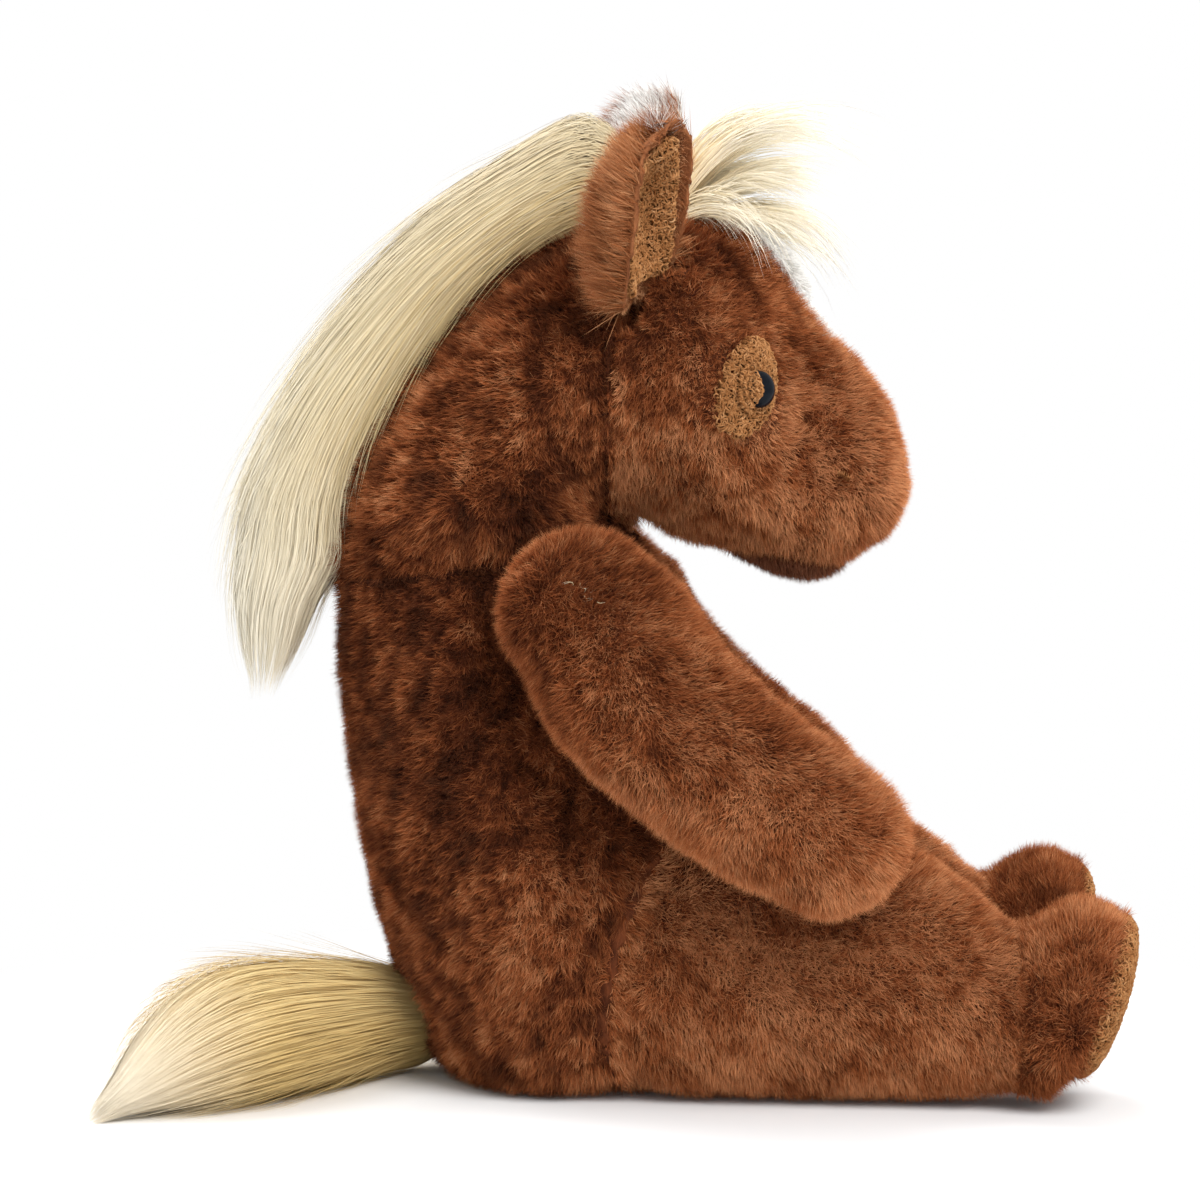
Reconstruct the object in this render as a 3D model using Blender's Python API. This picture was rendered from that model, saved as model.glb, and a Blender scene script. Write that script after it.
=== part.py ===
"""Seated plush horse: stuffed body, neck, head and limbs with sewn-on panels.

The horse faces +X and its left side is +Y. The floor is Z = 0, under the seat.
Each stuffed form is a loft: rings of points through a table of stations, closed by round caps
or left flat where the form meets its neighbour at a seam. Places in a table are shares of the
form's own sizes, so that the form keeps its character when a size changes.
"""

import math

import bmesh
import bpy
from mathutils import Euler, Matrix, Vector

# Clearances, in metres
GAP = 0.0003
SWEEP_GAP = 0.0009
OVERRUN = 0.01
WELD_DISTANCE = 0.00002

# Torso
TORSO_HEIGHT = 0.1725
TORSO_DEPTH = 0.1435
TORSO_WIDTH = 0.150
TORSO_REAR_X = -0.0965
NECK_SEAM_DEPTH = 0.104
NECK_SEAM_WIDTH = 0.090
NECK_SEAM_LEAN_DEG = 8.5

# Seat and pellet pouch
SEAT_X = -0.031
SEAT_PANEL_LENGTH = 0.054
SEAT_PANEL_WIDTH = 0.066
SEAT_PANEL_THICKNESS = 0.003
POUCH_LENGTH = 0.046
POUCH_WIDTH = 0.058
POUCH_HEIGHT = 0.020

# Neck, from its seam with the torso to its seam with the head
NECK_REACH = 0.0492
NECK_RISE = 0.0564
NECK_WIDTH = 0.106
HEAD_SEAM_HEIGHT = 0.100

# Head
HEAD_LENGTH = 0.104
HEAD_WIDTH = 0.114
FOREHEAD_RISE = 0.056
MUZZLE_DROP = 0.0685
MUZZLE_ROUNDING = 0.004

# Chin, blaze and forelock
CHIN_LENGTH = 0.040
CHIN_WIDTH = 0.042
CHIN_THICKNESS = 0.0025
BLAZE_LENGTH = 0.044
BLAZE_WIDTH = 0.022
BLAZE_THICKNESS = 0.0025
FORELOCK_LENGTH = 0.070
FORELOCK_HEIGHT = 0.034
FORELOCK_WIDTH = 0.038

# Eyes and their patches
EYE_DIAMETER = 0.012
EYE_DOME_HEIGHT = 0.0048
EYE_STEM_DIAMETER = 0.004
EYE_STEM_LENGTH = 0.014
EYE_WASHER_DIAMETER = 0.014
EYE_WASHER_THICKNESS = 0.0015
EYE_WASHER_DEPTH = 0.004
PATCH_LENGTH = 0.034
PATCH_WIDTH = 0.022
PATCH_THICKNESS = 0.0022
PATCH_SET_BACK = 0.0020

# Ears
EAR_LENGTH = 0.066
EAR_WIDTH = 0.064
EAR_THICKNESS = 0.0065
EAR_CURL_RADIUS = 0.0195
EAR_BACK_BOW = 0.014
EAR_LINING_THICKNESS = 0.0020
EAR_SINK = 0.0020

# Mane
MANE_THICKNESS = 0.036
MANE_END_BULGE = 0.005
MANE_CREST_HEIGHT = 0.034

# Arms
ARM_LENGTH = 0.110
ARM_DEPTH = 0.062
ARM_THICKNESS = 0.048
ARM_DROP_DEG = {"right": 43.0, "left": 46.0}
ARM_SPLAY_DEG = 16.7
SHOULDER_X = -0.0135
SHOULDER_Y = 0.0500
SHOULDER_Z = 0.1560
SHOULDER_PRESS = 0.0040

# Legs, feet and soles
HIP_X = 0.020
HIP_Y = 0.043
LEG_LENGTH = 0.109
THIGH_HEIGHT = 0.0945
THIGH_WIDTH = 0.062
ANKLE_HEIGHT = 0.054
FOOT_LENGTH = 0.037
FOOT_HEIGHT = 0.068
FOOT_WIDTH = 0.066
LEG_SPLAY_DEG = 6.0
FLOOR_FLAT = 0.0005
SOLE_BULGE = 0.0065
SOLE_INSET_SHARE = 0.93

# Tail
TAIL_ROOT_X = -0.071
TAIL_ROOT_Z = 0.020
TAIL_LENGTH = 0.124
TAIL_HEIGHT = 0.042
TAIL_WIDTH = 0.046
TAIL_SWING_DEG = -138.5

# How far the hollows leave the moving pieces free to travel, in degrees
LEG_LIFT_DEG = 6.0
EAR_BACK_DEG = 12.0
EAR_FORWARD_DEG = 17.0
TAIL_SPREAD_DEG = 25.0

RING_SIDES = 24
SMALL_RING_SIDES = 14
CAP_RINGS = 4
ROUND_SIDES = 20
DOME_RINGS = 4
SHARP_ANGLE_DEG = 50.0
PROBE_TURN_SHARE = 0.002

# Columns of a profile table: back x, back z, front x, front z, half width, egg.
# x is a share of the torso's depth from its rear, z of its height, the width of half its width.
TORSO_SHARES = (
    (0.270, 0.000, 0.800, 0.000, 0.640, 0.0),
    (0.215, 0.060, 0.880, 0.055, 0.800, 0.0),
    (0.150, 0.190, 0.950, 0.200, 0.940, 0.0),
    (0.095, 0.330, 0.985, 0.350, 1.000, 0.0),
    (0.055, 0.475, 0.985, 0.500, 0.985, 0.0),
    (0.030, 0.620, 0.950, 0.640, 0.910, 0.0),
    (0.008, 0.770, 0.890, 0.790, 0.800, 0.0),
    (0.002, 0.890, 0.815, 0.920, 0.690, 0.0),
)

# Columns: way of the throat point from seam to seam, turn of the ring, its length, its half width.
NECK_SHARES = (
    (0.31, 0.147, 0.925, 1.03),
    (0.56, 0.277, 0.865, 1.00),
    (0.72, 0.418, 0.830, 0.98),
    (0.88, 0.615, 0.840, 0.98),
    (0.96, 0.795, 0.910, 0.99),
)

# Columns: top x and z, bottom x and z, half width, egg. x is a share of the head's length, z of
# the forehead's rise over the seam's centre or, below it, of the muzzle's drop.
HEAD_SHARES = (
    (0.215, 1.000, 0.165, -0.803, 1.02, 0.00),
    (0.380, 0.946, 0.300, -0.861, 1.03, 0.05),
    (0.500, 0.795, 0.410, -0.905, 0.90, 0.16),
    (0.610, 0.518, 0.500, -0.956, 0.73, 0.24),
    (0.705, 0.268, 0.570, -0.993, 0.66, 0.24),
    (0.805, 0.098, 0.640, -1.000, 0.65, 0.22),
    (0.890, -0.095, 0.710, -0.985, 0.63, 0.16),
    (0.945, -0.292, 0.780, -0.934, 0.56, 0.09),
    (0.968, -0.482, 0.855, -0.854, 0.42, 0.00),
)

# Columns: way along the arm, top and bottom across it, half thickness.
ARM_SHARES = (
    (0.00, 0.93, -0.92, 0.88),
    (0.18, 0.93, -1.18, 1.00),
    (0.36, 0.74, -1.26, 1.04),
    (0.55, 0.70, -1.20, 1.02),
    (0.73, 0.74, -1.14, 1.00),
    (0.88, 0.82, -1.02, 0.98),
    (1.00, 0.84, -0.86, 0.92),
)
ARM_START_SHARE = 0.44
ARM_END_SHARE = 0.37

# Columns: top x, top z, bottom x, bottom z, half width; the hip's ring comes before the first.
LEG_SHARES = (
    (0.28, 0.500, 0.28, -0.500, 1.00),
    (0.56, 0.455, 0.55, -0.500, 0.97),
    (0.71, 0.380, 0.70, -0.498, 0.93),
    (0.84, 0.280, 0.85, -0.490, 0.89),
    (0.94, 0.170, 0.95, -0.470, 0.86),
)
ANKLE_LIFT_SHARE = 0.045
ANKLE_WIDTH_SHARE = 0.85

# Columns: top x and z, bottom x and z, half width, as shares of the foot's sizes.
FOOT_SHARES = (
    (0.20, 0.955, 0.14, 0.010, 0.92),
    (0.46, 1.015, 0.26, 0.015, 1.00),
    (0.72, 1.000, 0.36, 0.070, 1.00),
    (0.88, 0.940, 0.43, 0.140, 0.95),
)

# Columns: way along the tail, top as a share of its height, bottom of the way down to the floor,
# half width.
TAIL_SHARES = (
    (0.00, 0.34, 0.92, 0.56),
    (0.17, 0.46, 0.97, 0.74),
    (0.34, 0.52, 0.97, 0.92),
    (0.52, 0.54, 0.98, 1.00),
    (0.68, 0.47, 0.98, 0.92),
    (0.82, 0.26, 0.98, 0.72),
    (0.93, 0.00, 0.98, 0.46),
)
TAIL_TIP_SHARE = 0.05

# Columns: way along the crest, under side and top side over it, half thickness. The crest runs
# from the torso's back, over the neck, to the head seam.
MANE_SHARES = (
    (-0.16, 0.62, 0.80, 0.26),
    (-0.10, 0.36, 0.90, 0.48),
    (-0.02, 0.18, 0.96, 0.70),
    (0.02, 0.08, 0.98, 0.76),
    (0.09, -0.14, 1.00, 0.84),
    (0.20, -0.14, 1.00, 0.94),
    (0.35, -0.14, 0.96, 1.00),
    (0.51, -0.14, 0.94, 1.00),
    (0.67, -0.14, 0.94, 0.98),
    (0.84, -0.14, 1.00, 0.92),
    (0.975, -0.14, 1.10, 0.84),
)

# Columns: way along the forelock, top and bottom over the head, half width.
FORELOCK_SHARES = (
    (0.00, 1.02, -0.30, 0.72),
    (0.20, 0.98, -0.28, 0.90),
    (0.42, 0.88, -0.24, 1.00),
    (0.65, 0.80, -0.18, 0.92),
    (0.85, 0.62, -0.16, 0.66),
    (0.97, 0.34, -0.06, 0.30),
)
FORELOCK_END_SHARE = 0.05

# Columns: way along the pellet pouch, height and half width.
POUCH_SHARES = (
    (0.10, 0.60),
    (0.30, 0.92),
    (0.50, 1.00),
    (0.70, 0.92),
    (0.90, 0.60),
)
POUCH_END_SHARE = 0.10

# Columns: way along the ear, half width.
EAR_SHARES = (
    (0.00, 0.42),
    (0.10, 0.66),
    (0.25, 0.88),
    (0.45, 1.00),
    (0.65, 0.93),
    (0.82, 0.70),
    (0.94, 0.40),
)
EAR_TIP_SHARE = 0.16
EAR_THINNING_SHARE = 0.33
LINING_LENGTH_SHARE = 0.86
LINING_WIDTH_SHARE = 0.78

# Where things sit on the head: along its table of stations, and round its ring from the top.
EYE_PLACE_SHARES = (0.322, 0.243)
EAR_PLACE_SHARES = {"right": (0.042, 0.170), "left": (0.050, 0.105)}
BLAZE_PLACE_SHARE = 0.345
CHIN_PLACE_SHARES = (0.545, 0.5)
FORELOCK_PLACE_SHARE = 0.03

# Outward lean, turn about its own length and forward sweep of each ear, in degrees
EAR_POSES_DEG = {"right": (30.0, -62.0, 12.0), "left": (30.0, -62.0, 8.0)}

SIDES = {"right": -1, "left": 1}

CHESTNUT = (0.19, 0.065, 0.026)
TAN = (0.33, 0.125, 0.050)
CREAM = (0.80, 0.66, 0.42)
GOLD = (0.42, 0.235, 0.090)
WHITE = (0.86, 0.83, 0.78)
BLACK = (0.006, 0.007, 0.009)
DARK_BROWN = (0.085, 0.032, 0.018)
CLOTH_WHITE = (0.70, 0.69, 0.66)
NYLON_WHITE = (0.75, 0.75, 0.73)
PILE_ROUGHNESS = 0.90
GLOSS_ROUGHNESS = 0.05
NYLON_ROUGHNESS = 0.45


def clear_scene():
    """Remove every object of the file's scene."""
    for item in list(bpy.data.objects):
        bpy.data.objects.remove(item, do_unlink=True)


def new_material(name, color, roughness):
    """A Principled material with one colour."""
    material = bpy.data.materials.new(name)
    material.use_nodes = True
    shader = material.node_tree.nodes["Principled BSDF"]
    shader.inputs["Base Color"].default_value = (*color, 1)
    shader.inputs["Roughness"].default_value = roughness
    shader.inputs["Metallic"].default_value = 0
    return material


def smooth_rows(rows, steps):
    """Rows of numbers made denser by a smooth curve that passes through each of them."""
    dense = []
    last = len(rows) - 1
    for index in range(last):
        before = rows[max(index - 1, 0)]
        start = rows[index]
        end = rows[index + 1]
        after = rows[min(index + 2, last)]
        for step in range(steps):
            t = step / steps
            row = []
            for a, b, c, d in zip(before, start, end, after):
                slope_in = (c - a) / 2
                slope_out = (d - b) / 2
                rise = c - b
                cubic = slope_in + slope_out - 2 * rise
                square = 3 * rise - 2 * slope_in - slope_out
                row.append(b + slope_in * t + square * t * t + cubic * t * t * t)
            dense.append(tuple(row))
    dense.append(tuple(rows[last]))
    return dense


def ring_point(row, angle):
    """A point of one ring. Angle 0 is the top of the ring and a quarter turn is its +Y side."""
    top_x, top_z, bottom_x, bottom_z, half_width, egg, centre_y = row
    up = math.cos(angle)
    across = math.sin(angle)
    x = (top_x + bottom_x) / 2 + (top_x - bottom_x) / 2 * up
    z = (top_z + bottom_z) / 2 + (top_z - bottom_z) / 2 * up
    return Vector((x, centre_y + half_width * across * (1 - egg * up), z))


def ring_normal(row):
    """The direction in which the loft runs through a ring."""
    rise = Vector((row[0] - row[2], 0, row[1] - row[3])).normalized()
    return Vector((rise.z, 0, -rise.x))


def full_rows(rows):
    """Rows with the egg share and the centre's side added where a table leaves them out."""
    return [tuple(row) + (0.0,) * (7 - len(row)) for row in rows]


def add_cap(mesh, ring, outward, bulge):
    """Close a ring with a round cap, or with a flat face where the bulge is zero."""
    points = [vertex.co.copy() for vertex in ring]
    if bulge == 0:
        mesh.faces.new(ring)
        return
    centre = sum(points, Vector()) / len(points)
    last = ring
    for step in range(1, CAP_RINGS):
        angle = math.pi / 2 * step / CAP_RINGS
        lift = outward * bulge * math.sin(angle)
        now = [mesh.verts.new(centre + (p - centre) * math.cos(angle) + lift) for p in points]
        join_rings(mesh, last, now)
        last = now
    pole = mesh.verts.new(centre + outward * bulge)
    for index, vertex in enumerate(last):
        mesh.faces.new((vertex, last[(index + 1) % len(last)], pole))


def join_rings(mesh, first, second):
    """Join two rings of equal count by a band of four-sided faces."""
    for index, vertex in enumerate(first):
        following = (index + 1) % len(first)
        mesh.faces.new((vertex, first[following], second[following], second[index]))


def to_mesh(name, mesh):
    """Turn a closed bmesh into a smooth shaded mesh with its faces pointing out."""
    bmesh.ops.recalc_face_normals(mesh, faces=mesh.faces[:])
    data = bpy.data.meshes.new(name)
    mesh.to_mesh(data)
    mesh.free()
    data.shade_smooth()
    data.set_sharp_from_angle(angle=math.radians(SHARP_ANGLE_DEG))
    return data


def loft(name, rows, start_bulge=0.0, end_bulge=0.0, steps=2, sides=RING_SIDES, bend=None):
    """A closed form through rings, with a round or flat cap at each end."""
    dense = smooth_rows(full_rows(rows), steps)
    mesh = bmesh.new()
    rings = []
    for row in dense:
        rings.append(
            [mesh.verts.new(ring_point(row, math.tau * i / sides)) for i in range(sides)]
        )
    for first, second in zip(rings, rings[1:]):
        join_rings(mesh, first, second)
    add_cap(mesh, rings[0], -ring_normal(dense[0]), start_bulge)
    add_cap(mesh, rings[-1], ring_normal(dense[-1]), end_bulge)
    if bend:
        for vertex in mesh.verts:
            vertex.co = bend(vertex.co)
    return to_mesh(name, mesh)


def grown(data, amount):
    """A copy of a closed mesh with its surface moved outward."""
    mesh = bmesh.new()
    mesh.from_mesh(data)
    mesh.normal_update()
    moves = [vertex.normal * amount * vertex.calc_shell_factor() for vertex in mesh.verts]
    for vertex, move in zip(mesh.verts, moves):
        vertex.co += move
    return to_mesh(data.name + "_grown", mesh)


def turned(name, profile, sides=ROUND_SIDES):
    """A turned form about Z: profile points are (radius, height), starting and ending on it."""
    mesh = bmesh.new()
    rings = []
    for radius, height in profile:
        if radius == 0:
            rings.append([mesh.verts.new((0, 0, height))])
            continue
        ring = []
        for index in range(sides):
            angle = math.tau * index / sides
            point = (radius * math.cos(angle), radius * math.sin(angle), height)
            ring.append(mesh.verts.new(point))
        rings.append(ring)
    for first, second in zip(rings, rings[1:]):
        if len(first) == 1 or len(second) == 1:
            pole, ring = (first[0], second) if len(first) == 1 else (second[0], first)
            for index, vertex in enumerate(ring):
                mesh.faces.new((vertex, ring[(index + 1) % sides], pole))
        else:
            join_rings(mesh, first, second)
    if len(rings[0]) > 1:
        join_rings(mesh, rings[-1], rings[0])
    return to_mesh(name, mesh)


def oval_prism(name, length, width, depth, sides=ROUND_SIDES):
    """An upright oval block centred on the origin, for cutting panels and recesses.

    Its corners keep off both middle planes, where the lofted skins have edges of their own.
    """
    mesh = bmesh.new()
    rings = []
    for height in (-depth / 2, depth / 2):
        ring = []
        for index in range(sides):
            angle = math.pi * (2 * index + 1) / sides
            point = (length / 2 * math.cos(angle), width / 2 * math.sin(angle), height)
            ring.append(mesh.verts.new(point))
        rings.append(ring)
    join_rings(mesh, rings[0], rings[1])
    mesh.faces.new(rings[0])
    mesh.faces.new(rings[1])
    return to_mesh(name, mesh)


def block(name, length, width, height):
    """A box centred on the origin, for cutting flats."""
    mesh = bmesh.new()
    bmesh.ops.create_cube(mesh, size=1)
    bmesh.ops.scale(mesh, vec=(length, width, height), verts=mesh.verts[:])
    return to_mesh(name, mesh)


def place(item, parent, matrix):
    """Parent an object and give it its place in the parent's frame."""
    bpy.context.scene.collection.objects.link(item)
    item.parent = parent
    item.matrix_local = matrix or Matrix()
    return item


def pivot(name, parent, matrix):
    """An empty on a joint's axis, which carries what turns about it."""
    return place(bpy.data.objects.new(name, None), parent, matrix)


def piece(name, data, parent, color, roughness=PILE_ROUGHNESS, matrix=None):
    """One named sub-part."""
    data.materials.append(new_material(name, color, roughness))
    return place(bpy.data.objects.new(name, data), parent, matrix)


def cutter(name, data, parent, matrix=None):
    """A hidden form that cuts its neighbours."""
    item = place(bpy.data.objects.new(name, data), parent, matrix)
    item.hide_render = True
    item.display_type = "WIRE"
    return item


def combine(item, other, operation="DIFFERENCE"):
    """Cut one form by another, or keep what they share."""
    modifier = item.modifiers.new(other.name, "BOOLEAN")
    modifier.operation = operation
    modifier.solver = "EXACT"
    modifier.object = other


def weld(item):
    """Join the points that cuts leave on top of each other."""
    modifier = item.modifiers.new("weld", "WELD")
    modifier.merge_threshold = WELD_DISTANCE


def move_and_turn(location, turns=(0, 0, 0)):
    """A frame at a location, turned by Euler angles in degrees."""
    angles = [math.radians(turn) for turn in turns]
    return Matrix.Translation(location) @ Euler(angles).to_matrix().to_4x4()


def flared(rows, rise_deg, fall_deg, spread_deg):
    """Rows of the hollow for a swinging form: freer all round, and more so away from its axis."""
    rise, fall, spread = (math.tan(math.radians(a)) for a in (rise_deg, fall_deg, spread_deg))
    wider = []
    for top_x, top_z, bottom_x, bottom_z, half_width in rows:
        wider.append((top_x, top_z + SWEEP_GAP + abs(top_x) * rise,
                      bottom_x, bottom_z - SWEEP_GAP - abs(bottom_x) * fall,
                      half_width + SWEEP_GAP + abs(top_x) * spread))
    return wider


def seam_centre():
    """The centre of the seam between the torso and the neck."""
    lean = math.radians(NECK_SEAM_LEAN_DEG)
    x = TORSO_REAR_X + TORSO_SHARES[-1][0] * TORSO_DEPTH
    half = NECK_SEAM_DEPTH / 2
    return Vector((x + half * math.cos(lean), 0, TORSO_HEIGHT))


def torso_rows():
    """Stations of the torso from the seat up to the neck seam."""
    rows = []
    for back_x, back_z, front_x, front_z, width, egg in TORSO_SHARES:
        rows.append((TORSO_REAR_X + back_x * TORSO_DEPTH, back_z * TORSO_HEIGHT,
                     TORSO_REAR_X + front_x * TORSO_DEPTH, front_z * TORSO_HEIGHT,
                     width * TORSO_WIDTH / 2, egg))
    lean = math.radians(NECK_SEAM_LEAN_DEG)
    along = Vector((math.cos(lean), 0, math.sin(lean))) * NECK_SEAM_DEPTH / 2
    back = seam_centre() - along
    front = seam_centre() + along
    rows.append((back.x, back.z, front.x, front.z, NECK_SEAM_WIDTH / 2, 0))
    return rows


def make_torso():
    """Torso, with the recess for its seat panel and pellet pouch."""
    torso = piece("torso", loft("torso", torso_rows()), None, CHESTNUT)
    panel = oval_prism("seat_panel", SEAT_PANEL_LENGTH, SEAT_PANEL_WIDTH, SEAT_PANEL_THICKNESS)
    seat = pivot("seat", None, Matrix.Translation((SEAT_X, 0, 0)))
    piece("seat_panel", panel, seat, DARK_BROWN,
          matrix=Matrix.Translation((0, 0, SEAT_PANEL_THICKNESS / 2)))
    recess = oval_prism("seat_recess", SEAT_PANEL_LENGTH + 2 * GAP, SEAT_PANEL_WIDTH + 2 * GAP,
                        2 * (SEAT_PANEL_THICKNESS + GAP))
    combine(torso, cutter("seat_recess", recess, seat))
    pouch_rows = []
    for way, size in POUCH_SHARES:
        x = way * POUCH_LENGTH - POUCH_LENGTH / 2
        half = size * POUCH_HEIGHT / 2
        pouch_rows.append((x, half, x, -half, size * POUCH_WIDTH / 2))
    bulge = POUCH_END_SHARE * POUCH_LENGTH
    pouch = loft("pellet_pouch", pouch_rows, bulge, bulge, 1, SMALL_RING_SIDES)
    above = Matrix.Translation((0, 0, SEAT_PANEL_THICKNESS + GAP + POUCH_HEIGHT / 2))
    piece("pellet_pouch", pouch, seat, CLOTH_WHITE, matrix=above)
    combine(torso, cutter("pouch_pocket", grown(pouch, GAP), seat, above))
    mouth = oval_prism("pouch_mouth", POUCH_LENGTH + 2 * GAP, POUCH_WIDTH + 2 * GAP,
                       POUCH_HEIGHT)
    combine(torso, cutter("pouch_mouth", mouth, seat))
    return torso


def neck_rows():
    """Stations of the neck, fanning about the throat from the torso's seam to the head's."""
    half = NECK_SEAM_DEPTH / 2
    lean = math.radians(NECK_SEAM_LEAN_DEG)
    head_up = Vector((math.sin(lean), 0, math.cos(lean)))
    seam = Vector((NECK_REACH, 0, NECK_RISE))
    start = Vector((half, 0, GAP))
    end = seam - head_up * HEAD_SEAM_HEIGHT / 2
    turn_in = math.pi
    turn_out = math.atan2(head_up.z, head_up.x)
    stations = [(0.0, 0.0, 1.0, NECK_SEAM_WIDTH / NECK_WIDTH), *NECK_SHARES, (1.0, 1.0, 1.0, 1.0)]
    rows = []
    for way, turn, size, width in stations:
        throat = start.lerp(end, way)
        angle = turn_in + (turn_out - turn_in) * turn
        length = (NECK_SEAM_DEPTH + (HEAD_SEAM_HEIGHT - NECK_SEAM_DEPTH) * turn) * size
        crest = throat + Vector((math.cos(angle), 0, math.sin(angle))) * length
        rows.append((crest.x, crest.z, throat.x, throat.z, width * NECK_WIDTH / 2))
    return rows


def make_neck():
    """Neck on the turning seam over the torso."""
    lean = (0, -NECK_SEAM_LEAN_DEG, 0)
    joint = pivot("neck_turn", None, move_and_turn(seam_centre(), lean))
    neck = piece("neck", loft("neck", neck_rows()), joint, CHESTNUT)
    return joint, neck


def crest_line():
    """Points up the back of the torso and neck, each with the direction away from it."""
    half = NECK_SEAM_DEPTH / 2
    seam = Vector((-half, 0, 0))
    line = []
    to_neck = move_and_turn(seam_centre(), (0, -NECK_SEAM_LEAN_DEG, 0)).inverted()
    for row in torso_rows()[-3:-1]:
        line.append((to_neck @ Vector((row[0], 0, row[1])), seam.normalized()))
    for row in smooth_rows(full_rows(neck_rows()), 2):
        crest = Vector((row[0], 0, row[1]))
        throat = Vector((row[2], 0, row[3]))
        line.append((crest, (crest - throat).normalized()))
    return line


def along_line(line, share):
    """The point and outward direction at a share of a line's length."""
    lengths = [0.0]
    for first, second in zip(line, line[1:]):
        lengths.append(lengths[-1] + (second[0] - first[0]).length)
    wanted = share * lengths[-1]
    index = max(i for i in range(len(line) - 1) if lengths[i] <= wanted)
    part = (wanted - lengths[index]) / (lengths[index + 1] - lengths[index])
    point, out = (a.lerp(b, part) for a, b in zip(line[index], line[index + 1]))
    return point, out.normalized()


def make_mane(joint, neck):
    """Mane: a crest of long pile on the neck, hanging free behind the torso."""
    line = crest_line()
    first_share = MANE_SHARES[0][0]
    rows = []
    for way, low, high, width in MANE_SHARES:
        point, out = along_line(line, (way - first_share) / (1 - first_share))
        top = point + out * high * MANE_CREST_HEIGHT
        bottom = point + out * low * MANE_CREST_HEIGHT
        rows.append((top.x, top.z, bottom.x, bottom.z, width * MANE_THICKNESS / 2))
    data = loft("mane", rows, MANE_END_BULGE, MANE_END_BULGE / 2, 1)
    mane = piece("mane", data, joint, CREAM)
    combine(mane, cutter("neck_bed", grown(neck.data, GAP), joint))


def head_rows():
    """Stations of the head from its seam forward, in the seam's frame."""
    half = HEAD_SEAM_HEIGHT / 2
    rows = [(GAP, half, GAP, SWEEP_GAP - half, NECK_WIDTH / 2, 0)]
    for top_x, top_z, bottom_x, bottom_z, width, egg in HEAD_SHARES:
        top_size = FOREHEAD_RISE if top_z > 0 else MUZZLE_DROP
        rows.append((top_x * HEAD_LENGTH, top_z * top_size, bottom_x * HEAD_LENGTH,
                     bottom_z * MUZZLE_DROP, width * HEAD_WIDTH / 2, egg))
    return rows


def head_frame(way, turn, side):
    """A frame on the head's surface, with Z pointing out and X toward the muzzle."""
    rows = smooth_rows(full_rows(head_rows()), 8)
    place_on = way * (len(rows) - 1)
    index = min(int(place_on), len(rows) - 2)
    part = place_on - index
    angle = math.tau * turn * side
    row = [a + (b - a) * part for a, b in zip(rows[index], rows[index + 1])]
    here = ring_point(row, angle)
    ahead = ring_point(rows[index + 1], angle) - ring_point(rows[index], angle)
    probe = math.tau * PROBE_TURN_SHARE
    round_it = ring_point(row, angle + probe) - ring_point(row, angle - probe)
    normal = round_it.cross(ahead)
    if normal.dot(here - Vector((here.x, 0, 0))) < 0:
        normal.negate()
    normal.normalize()
    forward = (ahead - normal * ahead.dot(normal)).normalized()
    left = normal.cross(forward)
    frame = Matrix((forward, left, normal)).transposed().to_4x4()
    return Matrix.Translation(here) @ frame


def panel_on(name, carrier, parent, prism, prism_matrix, thickness, color):
    """A panel of even thickness that lies on a carrier inside an outline."""
    panel = piece(name, grown(carrier.data, GAP + thickness), parent, color)
    combine(panel, cutter(f"{name}_outline", prism, parent, prism_matrix), "INTERSECT")
    combine(panel, cutter(f"{name}_bed", grown(carrier.data, GAP), parent))
    return panel


def make_head(neck_joint):
    """Head on the tilting seam at the end of the neck."""
    seat = move_and_turn((NECK_REACH, 0, NECK_RISE), (0, NECK_SEAM_LEAN_DEG, 0))
    joint = pivot("head_tilt", neck_joint, seat)
    data = loft("head", head_rows(), 0.0, MUZZLE_ROUNDING)
    return joint, piece("head", data, joint, TAN)


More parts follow.
